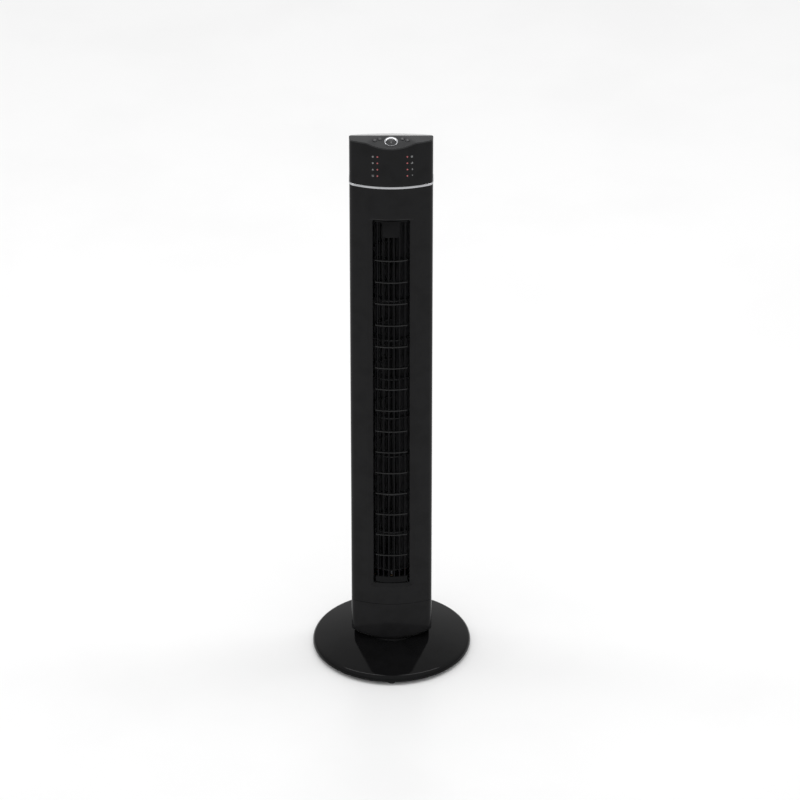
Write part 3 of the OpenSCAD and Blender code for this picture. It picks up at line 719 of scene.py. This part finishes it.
def make_foot():
    """The foot housing: outer skin with a rounded lower edge, inner wall, floor and bearing hole."""
    us = section_steps(-HALF_LEN, HALF_LEN)[:-1]
    build = Build()

    def at(t, shift=0.0):
        inset, lift = foot_profile(min(1.0, max(0.0, t)))
        return foot_point(us + shift, inset, FOOT_Z + lift)

    row, e = None, 1e-3
    for t in np.concatenate([np.linspace(0, TAPER_T, 17), np.linspace(TAPER_T + 0.04, 1.0, 10)]):
        ids = build.add(at(t), np.cross(at(t, 0.3) - at(t, -0.3), at(t + e) - at(t - e)))
        if row is not None:
            build.strip(row, ids)
        row = ids
    edge_xy = at(0)[:, :2]
    floor_xy = edge_xy * 0.96
    top, floor_z = SEAM_Z - SEAM, FOOT_Z + FOOT_FLOOR
    outer_xy, normal = section(us)
    inner_xy, _ = section(us, WALL)
    flat = level_normals(normal)
    up = np.tile([0.0, 0.0, 1.0], (len(us), 1))
    build.band([(outer_xy, top, up), (inner_xy, top, up)])
    build.band([(inner_xy, top, -flat), (inner_xy, FOOT_Z + FOOT_TAPER, -flat), (floor_xy, floor_z, -flat)])
    angles = np.arctan2(edge_xy[:, 1], edge_xy[:, 0])
    hole = np.column_stack([BEARING_R * np.cos(angles), BEARING_R * np.sin(angles)])
    build.band([(edge_xy, FOOT_Z, -up), (hole, FOOT_Z, -up)])
    build.band([(floor_xy, floor_z, up), (hole, floor_z, up)])
    build.band([(hole, z, level_normals(-hole)) for z in (FOOT_Z, floor_z)])
    return built("foot_housing_shell", build)


install(make_foot(), "column", GLOSS_PAINTED_SHEEN, ["foot_housing"])

# ---- front and rear shells -----------------------------------------------------------------

OUTLET_HALF, OUTLET_CORNER = 32.0, 2.5
OUTLET_Z0, OUTLET_Z1 = 148.0, 854.0
BEVEL_W, BEVEL_D = 8.5, 4.5


def outlet_profile():
    """The outlet's border: a soft outer edge, the bevel, a rounded inner edge and the wall behind."""
    slope = math.atan2(BEVEL_D, BEVEL_W)
    soft = [(BEVEL_W + 1.2, 0.0, 0.0), (BEVEL_W + 0.5, 0.06, slope * 0.3), (BEVEL_W - 0.4, 0.32, slope * 0.7)]
    bevel = [(BEVEL_W - 1.4, 0.84, slope), (1.6, BEVEL_D - 0.6, slope), (0.8, BEVEL_D - 0.1, slope + 0.3)]
    inner = [(0.25, BEVEL_D + 0.6, slope + 0.7), (0.0, BEVEL_D + 1.5, math.pi / 2)]
    behind = [(0.0, BEVEL_D + 3.2, math.pi / 2), (1.0, BEVEL_D + 3.2, math.pi)]
    return soft + bevel + inner + behind + [(BEVEL_W + 2.0, WALL, slope + math.pi)]


def shell_edge(u0, u1):
    return Edge(u0 + SEAM / 2, u1 - SEAM / 2, SEAM_Z + SEAM, TRIM_Z - SEAM, fillet(0.5, WALL))


def make_front_shell():
    outlet = Hole(0.0, (OUTLET_Z0 + OUTLET_Z1) / 2, OUTLET_HALF, (OUTLET_Z1 - OUTLET_Z0) / 2,
                  OUTLET_CORNER, outlet_profile(), corner=8, side=24, grow_z=0.6)
    return wall_piece("front_shell_skin", shell_edge(-U_SPLIT, U_SPLIT), [outlet], spacing=9.0)


def rear_half(x):
    """Half the length along the rear outline of an opening that reaches out to x."""
    return HALF_LEN - rear_u(float(x))


CUP_INSET = 2.0                               # flange of the handle cup behind the opening's edge
CUP_CORNER, CUP_WALL = 7.0, 1.6
SCREW_HEAD = 3.6
SCREW_HOLE = (6.4, 3.8, 3.79)                 # half length, half height and corner of a screw's recess
SCREW_FLOOR_Y = 6.8


def cup_opening(profile):
    low, high = box_mm("handle_cup")
    return Hole(HALF_LEN, (low[2] + high[2]) / 2, rear_half(high[0] - CUP_INSET),
                (high[2] - low[2]) / 2 - CUP_INSET, CUP_CORNER, profile, corner=8, side=8)


def make_rear_shell():
    low, high = box_mm("intake_grille")
    holes = [Hole(HALF_LEN, (low[2] + high[2]) / 2, rear_half(high[0] + SEAM), (high[2] - low[2]) / 2 + SEAM,
                  1.5, fillet(0.4, WALL), side=20), cup_opening(fillet(1.2, WALL, 5))]
    low, high = box_mm("shell_screws")
    screw_u = rear_u(float(high[0]) - SCREW_HEAD)
    for z in (float(low[2]) + SCREW_HEAD, float(high[2]) - SCREW_HEAD):
        for u in (screw_u, 2 * HALF_LEN - screw_u):
            holes.append(Hole(u, z, *SCREW_HOLE, fillet(0.4, WALL), corner=6, sink=SCREW_FLOOR_Y))
    return wall_piece("rear_shell_skin", shell_edge(U_SPLIT, 2 * HALF_LEN - U_SPLIT), holes, spacing=9.0)


SLOT_PITCH, SLOT_H, SLOT_COLUMNS = 10.0, 5.5, 4
SLOT_SIDE, SLOT_END, SLOT_RIB = 4.5, 8.0, 1.7  # margins beside and below the slots, and half a rib


def make_intake_grille():
    low, high = box_mm("intake_grille")
    half = rear_half(high[0])
    edge = Edge(HALF_LEN - half, HALF_LEN + half, float(low[2]), float(high[2]), fillet(0.4, WALL, 3))
    width = 2 * (half - SLOT_SIDE) / SLOT_COLUMNS
    holes = []
    for k in range(int((high[2] - low[2] + 2 * SEAM - 12) // SLOT_PITCH)):
        z = float(low[2]) - SEAM + SLOT_END + k * SLOT_PITCH + SLOT_H / 2
        for c in range(SLOT_COLUMNS):
            u = HALF_LEN + (c - (SLOT_COLUMNS - 1) / 2) * width
            holes.append(Hole(u, z, width / 2 - SLOT_RIB, SLOT_H / 2, 2.2, fillet(0.5, WALL, 3), corner=3))
    return wall_piece("intake_grille_panel", edge, holes, spacing=10.0)


install(make_front_shell(), "column", GLOSS_PAINTED_SHEEN, ["front_shell"])
install(make_rear_shell(), "column", GLOSS_PAINTED_SHEEN, ["rear_shell"])
install(make_intake_grille(), "column", MATTE, ["intake_grille"])

# ---- head ----------------------------------------------------------------------------------

TILT = math.radians(15)
DISH_R = 120.0
REAR_SLOPE = math.tan(math.radians(25.5))
DISH_BLEND, RIDGE_BLEND = 1.6, 2.4
UNDER_PANEL = 0.1                             # between the head's front wall and the console
LED_X = (-22.5, 26.5)
LED_Z0, LED_PITCH = 938.5, 11.7
LED_PLACES = [(x, LED_Z0 + k * LED_PITCH) for x in LED_X for k in range(4)]
LED_R, LED_HOLE = 1.5, 1.65


def head_top(x, y):
    """Height of the head's top: level wings, a tilted dish towards the front, a slope behind the ridge."""
    x, y = np.asarray(x, float), np.asarray(y, float)
    # the dish is the lower side of a cylinder whose axis is tilted
    sag = DISH_R - np.sqrt(np.maximum(DISH_R**2 - x**2, 0))
    dish = TOP_Z + (y - SPLIT_Y) * math.tan(TILT) + sag / math.cos(TILT)
    rear = TOP_Z - (y - SPLIT_Y) * REAR_SLOPE
    return smooth_min(smooth_min(np.full_like(x, TOP_Z), dish, DISH_BLEND), rear, RIDGE_BLEND)


def head_top_normal(x, y):
    e = 0.05
    gx = (head_top(x + e, y) - head_top(x - e, y)) / (2 * e)
    gy = (head_top(x, y + e) - head_top(x, y - e)) / (2 * e)
    return np.column_stack([-gx, -gy, np.ones(len(gx))])


def wall_top(u):
    """Height of the front wall's upper edge, just below the console."""
    return head_top(*section(np.atleast_1d(u))[0].T) - WALL - UNDER_PANEL


def make_head_front():
    edge = Edge(-U_SPLIT + SEAM / 2, U_SPLIT - SEAM / 2, HEAD_Z, wall_top, fillet(0.35, WALL), rows=5.0)
    holes = [Hole(front_u(x), z, LED_HOLE, LED_HOLE, LED_HOLE - 0.01, fillet(0.25, WALL, 3))
             for x, z in LED_PLACES]
    return wall_piece("head_front_shell", edge, holes, spacing=4.0)


install(make_head_front(), "column", GLOSS_PAINTED_SHEEN, ["head_front"])


def roof(build, us, rim, holes, spacing, limit, lower=0.0, flip=False):
    """The head's top inside the outline, rim in from the wall and closed along the split line."""
    edge_xy, _ = section(us, rim)
    edge_xy[0, 1] = edge_xy[-1, 1] = limit
    a, b = edge_xy[-1], edge_xy[0]
    loop = np.concatenate([edge_xy, [a + (b - a) * t for t in np.linspace(0, 1, 40)[1:-1]]])
    xs = np.arange(-HALF_W, HALF_W, spacing)
    ys = np.arange(FRONT_Y, REAR_Y, spacing)
    grid = np.array([(x, y) for x in xs for y in ys])
    keep = inside_loop(grid, loop, 0.8)
    for centre, hole_loop in holes:
        keep &= np.hypot(*(grid - centre).T) > np.hypot(*(hole_loop - centre).T).max() + 0.8
    points, faces, index = triangulate([loop] + [h for _, h in holes], grid[keep])
    middle = np.array([points[list(f)].mean(0) for f in faces])
    ok = inside_loop(middle, loop, 0.0)
    for _, hole_loop in holes:
        ok &= ~inside_loop(middle, hole_loop, 0.0)
    normal = head_top_normal(*points.T)
    ids = build.level(points, head_top(*points.T) - lower, -normal if flip else normal)
    build.fill(ids, faces, ok)
    return [ids[i] for i in index]


def roof_edge(build, us, r, steps, limit, row, crown):
    """Rounds the roof over into the wall; crown holds the roof's own normals along its rim."""
    top = head_top(*section(us, r)[0].T)
    for k in range(1, steps + 1):
        a = math.pi / 2 * k / steps
        xy, normal = section(us, r * (1 - math.sin(a)))
        xy[0, 1] = xy[-1, 1] = limit
        normals = level_normals(normal) * math.sin(a) + crown * math.cos(a)
        ids = build.level(xy, top - r * (1 - math.cos(a)), normals)
        build.strip(row, ids, closed=False)
        row = ids
    return row


def inside_loop(points, loop, margin):
    """Even-odd test, with a margin kept from the loop's points."""
    x, y = points[:, 0][:, None], points[:, 1][:, None]
    x0, y0 = loop[:, 0][None], loop[:, 1][None]
    x1, y1 = np.roll(loop[:, 0], -1)[None], np.roll(loop[:, 1], -1)[None]
    dy = np.where(np.abs(y1 - y0) < 1e-12, 1e-12, y1 - y0)
    cross = ((y0 > y) != (y1 > y)) & (x < (x1 - x0) * (y - y0) / dy + x0)
    result = cross.sum(1) % 2 == 1
    if margin > 0:
        result &= (np.hypot(x - x0, y - y0).min(1) > margin)
    return result


def console_matrix(dist, angle=0.0):
    """The console's frame: Z square to the surface, dist down the slope, angle round the dish."""
    m = Matrix.Translation((0, SPLIT_Y, TOP_Z)) @ Matrix.Rotation(TILT, 4, "X")
    m = m @ Matrix.Translation((0, -dist, 0))
    if angle:
        m = m @ Matrix.Translation((0, 0, DISH_R)) @ Matrix.Rotation(-angle, 4, "Y")
        m = m @ Matrix.Translation((0, 0, -DISH_R))
    return m


def key_matrix(x, dist):
    return console_matrix(dist, math.asin(x / DISH_R))


POWER_DIST, POWER_SHIFT, POWER_R, RING_R = 15.4, 2.6, 8.0, 11.8
POWER_PLACE = console_matrix(POWER_DIST + POWER_SHIFT)
KEY_R = 3.8
MINUS = [(0, 0, 1.4, 0.3)]                    # printed bars, as (x, y, half_x, half_y)
PLUS = MINUS + [(0, 0, 0.3, 1.4)]
KEYS = {"timer_button": (key_matrix(-27.0, 15.5), MINUS), "mode_button": (key_matrix(-18.5, 10.5), MINUS),
        "speed_button": (key_matrix(18.5, 10.5), PLUS), "swing_button": (key_matrix(27.0, 15.5), PLUS)}


def ring_angles(count):
    return np.linspace(0, 2 * math.pi, count + 1)[:-1]


def console_hole(matrix, r, count):
    """A round hole square to the console: its centre and its loop, seen from above."""
    m = np.array(matrix)
    circle = [m[:3, :3] @ np.array([r * math.cos(a), r * math.sin(a), 0.0]) + m[:3, 3]
              for a in ring_angles(count)]
    return m[:2, 3], np.array(circle)[:, :2]


PANEL_EDGE_R, REAR_EDGE_R = 0.9, 3.0


def make_control_panel():
    build = Build()
    us = section_steps(-U_SPLIT + SEAM / 2, U_SPLIT - SEAM / 2)
    limit = SPLIT_Y - SEAM / 2
    holes = [console_hole(console_matrix(POWER_DIST), RING_R + 0.15, 64)]
    holes += [console_hole(matrix, KEY_R + 0.3, 32) for matrix, _ in KEYS.values()]
    over = roof(build, us, PANEL_EDGE_R, holes, 2.0, limit)
    row = roof_edge(build, us, PANEL_EDGE_R, 5, limit, over[0][:len(us)], np.array([0.0, 0.0, 1.0]))
    xy, normal = section(us)
    low = build.level(xy, head_top(*xy.T) - WALL, level_normals(normal))
    build.strip(row, low, closed=False)
    under = roof(build, us, 0.0, holes, 4.0, limit, lower=WALL, flip=True)
    points = np.concatenate(build.points)
    for (centre, _), top_row, low_row in zip(holes, over[1:], under[1:]):
        aim = level_normals(centre - points[top_row][:, :2])
        build.strip(build.add(points[top_row], aim), build.add(points[low_row], aim))
    backs = [points[np.append(rows[0][len(us) - 1:], rows[0][0])] for rows in (over, under)]
    rearwards = np.tile([0.0, 1.0, 0.0], (len(backs[0]), 1))
    build.strip(*[build.add(back, rearwards) for back in backs], closed=False)
    return built("control_panel_top", build)


def make_head_rear():
    build = Build()
    us = section_steps(U_SPLIT + SEAM / 2, 2 * HALF_LEN - U_SPLIT - SEAM / 2)
    limit = SPLIT_Y + SEAM / 2
    over = roof(build, us, REAR_EDGE_R, [], 2.6, limit)
    crown = head_top_normal(*section(us, REAR_EDGE_R)[0].T)
    crown /= np.linalg.norm(crown, axis=1, keepdims=True)
    row = roof_edge(build, us, REAR_EDGE_R, 7, limit, over[0][:len(us)], crown)
    xy, normal = section(us)
    chamfer_xy, wall_xy = section(us, 0.5)[0], section(us, WALL)[0]
    side, down = level_normals(normal), np.tile([0.0, 0.0, -1.0], (len(us), 1))
    low = build.level(xy, HEAD_Z + 0.5, side)
    build.strip(row, low, closed=False)
    build.strip(low, build.level(chamfer_xy, HEAD_Z, side + down), closed=False)
    build.band([(chamfer_xy, HEAD_Z, down), (wall_xy, HEAD_Z, down)], closed=False)
    build.band([(wall_xy, HEAD_Z, -side), (wall_xy, head_top(*wall_xy.T) - WALL, -side)], closed=False)
    roof(build, us, WALL, [], 6.0, limit, lower=WALL, flip=True)
    return built("head_rear_shell", build)


install(make_control_panel(), "column", CONSOLE, ["control_panel"])
install(make_head_rear(), "column", GLOSS_PAINTED_SHEEN, ["head_rear"])


def closed_band(name, profile):
    """Carries the whole outline along a closed line of (inset, z), with normals from the line."""
    us = section_steps(-HALF_LEN, HALF_LEN)[:-1]
    build = Build()
    profile = np.array(profile, float)
    ahead = np.roll(profile, -1, axis=0) - profile
    turns = np.arctan2(ahead[:, 1], -ahead[:, 0])
    rows = []
    for (inset, z), before, after in zip(profile, np.roll(turns, 1), turns):
        sides = [np.array([math.sin(a), math.cos(a)]) for a in (before, after)]
        if abs((after - before + math.pi) % (2 * math.pi) - math.pi) <= SHARP:
            sides = [sides[0] + sides[1]]
        xy, normal = section(us, inset)
        rows.append([build.level(xy, z, np.column_stack([normal * s, np.full(len(us), -c)]))
                     for s, c in sides])
    for row, following in zip(rows, rows[1:] + rows[:1]):
        build.strip(row[-1], following[0])
    return built(name, build)


def make_trim():
    """The chrome band between the body and the head, standing slightly proud of both."""
    z0, z1 = TRIM_Z, float(trim_high[2])
    r, proud, depth = 0.9, 0.6, 4.0
    outer = [(r * (1 - math.sin(a)) - proud, z0 + r * (1 - math.cos(a)))
             for a in np.linspace(0, math.pi / 2, 6)]
    outer += [(d, z0 + z1 - z) for d, z in outer[::-1]]
    return closed_band("trim_ring_band", outer + [(depth, z1), (depth, z0)])


install(make_trim(), "column", CHROME, ["trim_ring"])

# ---- console pieces ------------------------------------------------------------------------

def make_button_ring():
    """A chrome ring, broad towards the ridge and narrow towards the front, with a domed face."""
    count, foot_z, base_z, top_z = 96, -3.0, 0.2, 1.6
    angles = ring_angles(count)
    circle = np.column_stack([np.cos(angles), np.sin(angles)])
    outer, inner = RING_R * circle, (POWER_R + 0.3) * circle - [0.0, POWER_SHIFT]
    face = [(t, base_z + (top_z - base_z) * math.sin(math.pi * t) ** 0.6) for t in np.linspace(0, 1, 13)]
    rows = [np.column_stack([outer + (inner - outer) * t, np.full(count, z)])
            for t, z in [(0.0, foot_z)] + face + [(1.0, foot_z)]]
    points = moved(np.concatenate(rows), console_matrix(POWER_DIST))
    ring = mesh_object("button_ring_chrome", points, grid_faces(len(rows), count, True))
    return outward(ring, math.radians(50))


def cap_profile(r, top, skirt, dish, edge):
    """A round button cap: straight skirt, rounded edge and a slightly hollow or domed face."""
    flat_r = r * 0.86
    face = [(flat_r * (1 - t), top - dish * (1 - (1 - t) ** 2)) for t in np.linspace(0, 1, 7)]
    line = rounded([(r, skirt), (r, top), (flat_r, top)], [0, edge, 0])
    return [(0.0, skirt)] + [tuple(p) for p in line] + face[1:]


install(make_button_ring(), "column", CHROME, ["button_ring"])
profile = cap_profile(POWER_R, top=1.2, skirt=-2.6, dish=0.7, edge=0.7)
power = lathe("power_cap", profile, frame_matrix=POWER_PLACE)
install(power, "power_button", CONSOLE, ["power_button"])
profile = cap_profile(KEY_R, top=1.0, skirt=-2.4, dish=-0.25, edge=0.6)
for key_name, (matrix, _) in KEYS.items():
    cap = lathe(key_name + "_cap", profile, segments=48, frame_matrix=matrix)
    install(cap, key_name, KEY, [key_name])


def front_y(x):
    """y of the front face at x."""
    return FRONT_CY - np.sqrt(FRONT_R**2 - x**2)


def make_leds():
    """Eight lenses, each with a flange on its board and a domed face at the wall's surface."""
    flange_r, back, flange, rim, dome = 1.9, 12.0, 9.0, 0.6, 0.9
    outline = [(flange_r, back), (flange_r, flange), (LED_R, flange), (LED_R, rim)]
    outline += [(LED_R * math.cos(a), rim - dome * math.sin(a)) for a in np.linspace(0.2, 1.45, 6)]
    parts = []
    for x, z in LED_PLACES:
        rows = [[(x + r * math.cos(a), front_y(x) + depth, z + r * math.sin(a)) for a in ring_angles(24)]
                for r, depth in outline]
        parts.append(sweep(rows))
    return joined("red_led_lenses", parts)


install(make_leds(), "column", LED, ["red_leds"])

# ---- printed marks -------------------------------------------------------------------------

PRINT_THICK = 0.06
PRINT_X = (-30.0, 34.0)                       # outside the two columns of lights


def front_mark(loop):
    """A flat printed shape on the front face, from a closed line of (x, z)."""
    x, z = np.asarray(loop, float).T
    return sweep([np.column_stack([x, front_y(x) + d, z]) for d in (0.05, -PRINT_THICK)])


def bar_loop(x, z, half_x, half_z):
    return [(x + sx * half_x, z + sz * half_z) for sx, sz in ((-1, -1), (1, -1), (1, 1), (-1, 1))]


def make_front_marks():
    """Plain marks beside the lights: shapes for the modes, a quarter to a full dial for the timer."""
    x, size = PRINT_X[0], 1.9
    loops = [bar_loop(x, LED_Z0 + 1.3 * (k - 1), size, 0.35) for k in range(3)]
    z = LED_Z0 + LED_PITCH
    loops.append([(x - size, z - 1.5), (x + size, z - 1.5), (x, z + size)])
    z += LED_PITCH
    loops.append([(x, z - size), (x + size, z), (x, z + size), (x - size, z)])
    z = LED_Z0 + 3 * LED_PITCH
    loops.append([(x + 1.7 * math.cos(a), z + 1.7 * math.sin(a)) for a in ring_angles(20)])
    x = PRINT_X[1]
    for k in range(4):
        z = LED_Z0 + k * LED_PITCH
        turn = np.linspace(math.pi / 2, math.pi / 2 - math.pi / 2 * (k + 1), 6 * (k + 1) + 1)
        sector = [(x + size * math.cos(a), z + size * math.sin(a)) for a in turn]
        loops.append(sector[:-1] if k == 3 else [(x, z)] + sector)
    return joined("front_marks", [front_mark(loop) for loop in loops])


def cap_mark(name, matrix, bars, low, high):
    """Short printed bars on a button's face, from low to high above it."""
    parts = []
    for bar in bars:
        loop = np.array(bar_loop(*bar))
        parts.append(sweep([moved(np.column_stack([loop, np.full(4, h)]), matrix) for h in (low, high)]))
    return joined(name, parts)


install(make_front_marks(), "column", PRINT)
for key_name, (matrix, bars) in KEYS.items():
    install(cap_mark(key_name + "_mark", matrix, bars, low=0.9, high=1.32), key_name, PRINT)
power_bar = cap_mark("power_mark", POWER_PLACE, [(0, 0.6, 0.45, 2.0)], low=0.1, high=0.62)
install(power_bar, "power_button", PRINT)

# ---- outlet grille -------------------------------------------------------------------------

GRILLE_R = 85.0
GRILLE_Y = FRONT_Y + 4.0
GRILLE_HALF = 27.5
RING_COUNT, RING_Z0, RING_PITCH, RING_HALF = 15, 204.0, 41.0, 0.9
BAR_COUNT, BAR_HALF = 6, 1.1
BAR_PITCH = 54.8 / BAR_COUNT
BAR_BACK, PLATE_BACK = 0.9, 0.5               # how far bars and plates stand behind the rings
RING_DEPTH, PLATE_DEPTH = 5.0, 4.5
END_GAP, SILL_H, BLOCK_H, STRIP_H = 1.0, 12.0, 31.0, 3.0


def grille_y(r, a):
    """y on the grille's curve of radius r at an angle a from the front."""
    return GRILLE_Y + GRILLE_R - r * math.cos(a)


def arc_bar(r_front, depth, half, z0, z1, edge, steps=24):
    """A curved flat bar that follows the grille's arc, with rounded front edges."""
    shape = rounded([(depth, z0), (0.0, z0), (0.0, z1), (depth, z1)], [0, edge, edge, 0], 4)
    return sweep([[((r_front - d) * math.sin(a), grille_y(r_front - d, a), z) for d, z in shape]
                  for a in np.linspace(-half / r_front, half / r_front, steps + 1)])


def make_grille_rings():
    levels = [RING_Z0 + k * RING_PITCH for k in range(RING_COUNT)]
    parts = [arc_bar(GRILLE_R, RING_DEPTH, GRILLE_HALF, z - RING_HALF, z + RING_HALF, 0.7) for z in levels]
    return joined("outlet_grille_rings", parts)


def make_grille_bars():
    """The upright bars, the sill below, the block above and the strip across the top."""
    parts = []
    low, high, r = OUTLET_Z0 + END_GAP, OUTLET_Z1 - END_GAP, GRILLE_R - BAR_BACK
    for k in range(BAR_COUNT):
        x = (k - (BAR_COUNT - 1) / 2) * BAR_PITCH
        y0 = grille_y(r, math.asin(x / r))
        x0, x1, y1 = x - BAR_HALF, x + BAR_HALF, y0 + 6
        shape = rounded([(x0, y1), (x0, y0), (x1, y0), (x1, y1)], [0, 0.9, 0.9, 0], 4)
        parts.append(sweep([np.column_stack([shape, np.full(len(shape), z)]) for z in (low, high)]))
    sill, block = (GRILLE_HALF, low, low + SILL_H, 1.0), (1.5 * BAR_PITCH, high - BLOCK_H, high, 1.0)
    for bar in (sill, block, (GRILLE_HALF, high - STRIP_H, high, 0.6)):
        parts.append(arc_bar(GRILLE_R - PLATE_BACK, PLATE_DEPTH, *bar))
    return joined("outlet_grille_bars", parts)


# The rings take the lighter copy of the grille's black, a painted highlight; the bars keep the plain grille
# black.
install(make_grille_rings(), "column", GRILLE_RING_PAINTED_HIGHLIGHT, ["outlet_grille"])
install(make_grille_bars(), "column", GRILLE, ["outlet_grille"])

# ---- impeller ------------------------------------------------------------------------------

BLADES, BAYS = 30, 9
CHORD, BOW, BLADE = 9.0, 1.5, 0.9             # a blade's width, how far it is bowed and its thickness
BLADE_TURN = math.radians(28)
BLADE_IN, BLADE_END = 4.6, 1.0                # from the rim to a blade's middle, and past a blade's ends
DISC_HOLE, END_HOLE = 30.0, 5.1               # radii of the holes in the discs between and at the ends
DISC = 2.0                                    # a disc's thickness


def blade_outline():
    """A blade's section, up one side and down the other."""
    outline = []
    for side, ts in ((1, np.linspace(-1, 1, 9)), (-1, np.linspace(1, -1, 9))):
        outline += [(t * CHORD / 2, BOW * (1 - t * t) + side * BLADE / 2 * math.sqrt(max(0.15, 1 - t * t)))
                    for t in ts]
    return outline


def make_impeller():
    low, high = box_mm("impeller_wheel")
    z0, z1 = float(low[2]), float(high[2])
    radius, cy = float(high[0]), float(low[1] + high[1]) / 2
    parts = []
    for k in range(BLADES):
        place = Matrix.Rotation(2 * math.pi * k / BLADES, 3, "Z")
        turn, mid = place @ Matrix.Rotation(BLADE_TURN, 3, "Z"), place @ Vector((radius - BLADE_IN, 0, 0))
        shape = [turn @ Vector((a, b - BOW / 2, 0)) + mid for a, b in blade_outline()]
        parts.append(sweep([[(p.x, p.y + cy, z) for p in shape] for z in (z0 + BLADE_END, z1 - BLADE_END)]))
    for k in range(BAYS + 1):
        hub = END_HOLE if k in (0, BAYS) else DISC_HOLE
        z = z0 + k * (z1 - z0 - DISC) / BAYS
        ring = rounded([(hub, z), (radius, z), (radius, z + DISC), (hub, z + DISC)], [0, 0.6, 0.6, 0], 3)
        rows = [[(r * math.cos(a), cy + r * math.sin(a), h) for a in ring_angles(72)] for r, h in ring]
        parts.append((np.concatenate(rows), grid_faces(len(rows), 72, True)))
    return joined("impeller_blades", parts)


install(make_impeller(), "impeller", INNER, ["impeller_wheel"])

# ---- handle cup ----------------------------------------------------------------------------

def make_handle_cup():
    """The cup in the carrying opening: the opening's outline carried back and rounded to a floor."""
    hole = cup_opening([])
    start, _ = wall_point(hole.loop(0.4), WALL + SEAM)
    floor_y, r, n = float(box_mm("handle_cup")[0][1]) + 2.0, 5.0, len(start)
    offset = start[:, [0, 2]] - [0.0, hole.cz]
    length = np.linalg.norm(offset, axis=1, keepdims=True)
    rows = [start]
    for a in np.linspace(0, math.pi / 2, 7):
        x, z = (offset * np.maximum(0.0, 1 - r * (1 - math.cos(a)) / length)).T
        rows.append(np.column_stack([x, np.full(n, floor_y + r * (1 - math.sin(a))), hole.cz + z]))
    last = (len(rows) - 1) * n
    faces = grid_faces(len(rows), n) + [list(range(last, last + n))]
    obj = mesh_object("handle_recess", np.concatenate(rows), faces)
    solid = obj.modifiers.new("thickness", "SOLIDIFY")
    solid.thickness = CUP_WALL * MM
    solid.offset = 0.0
    return obj


install(make_handle_cup(), "column", MATTE, ["handle_cup"])

# ---- stage, light and camera ---------------------------------------------------------------

FLOOR_HALF = 14.0
LENS, SENSOR = 215.4, 36.0
CAMERA_AT, CAMERA_PITCH = (0.0145, -7.0, 4.565), 30.22
SKY_LOW, SKY_HIGH, SKY_TOP, SKY_STRENGTH = 0.38, 1.0, 0.55, 0.93


def linked(name, data):
    obj = bpy.data.objects.new(name, data)
    bpy.context.scene.collection.objects.link(obj)
    return obj


def make_floor():
    mesh = bpy.data.meshes.new("floor")
    mesh.from_pydata([(x, y, 0) for x, y in bar_loop(0, 0, FLOOR_HALF, FLOOR_HALF)], [], [(0, 1, 2, 3)])
    floor = linked("floor", mesh)
    material, tree, shader = new_material("floor_white")
    colour = tint(tree, noise(tree, 3.0), grey(0.9, 0.9), grey(0.92, 0.92))
    tree.links.new(colour, shader.inputs["Base Color"])
    shader.inputs["Roughness"].default_value = 0.35
    mesh.materials.append(material)


def area_light(name, place, aim, size, power, spread):
    data = bpy.data.lights.new(name, "AREA")
    data.shape = "RECTANGLE"
    data.size, data.size_y = size
    data.energy = power
    data.spread = math.radians(spread)
    light = linked(name, data)
    light.location = place
    light.rotation_mode = "QUATERNION"
    light.rotation_quaternion = (Vector(aim) - Vector(place)).to_track_quat("-Z", "Y")


def make_world():
    world = bpy.data.worlds.new("studio")
    bpy.context.scene.world = world
    world.use_nodes = True
    tree = world.node_tree
    background = tree.nodes["Background"]
    place = tree.nodes.new("ShaderNodeTexCoord")
    split = tree.nodes.new("ShaderNodeSeparateXYZ")
    tree.links.new(place.outputs["Generated"], split.inputs["Vector"])
    sky = ramp(tree, split.outputs["Z"], (0.0, grey(SKY_LOW, SKY_LOW)), (SKY_TOP, grey(SKY_HIGH, SKY_HIGH)))
    tree.links.new(sky, background.inputs["Color"])
    background.inputs["Strength"].default_value = SKY_STRENGTH


def make_camera():
    data = bpy.data.cameras.new("camera")
    data.lens, data.sensor_width, data.clip_end = LENS, SENSOR, 100
    camera = linked("camera", data)
    camera.location = CAMERA_AT
    camera.rotation_euler = (math.radians(90 - CAMERA_PITCH), 0, 0)
    bpy.context.scene.camera = camera


make_floor()
make_world()
area_light("overhead_strip", place=(0.0, 0.45, 3.4), aim=(0.0, 0.45, 0.0), size=(4.5, 0.5),
           power=42, spread=180)
make_camera()
bpy.context.scene.view_settings.view_transform = "Standard"
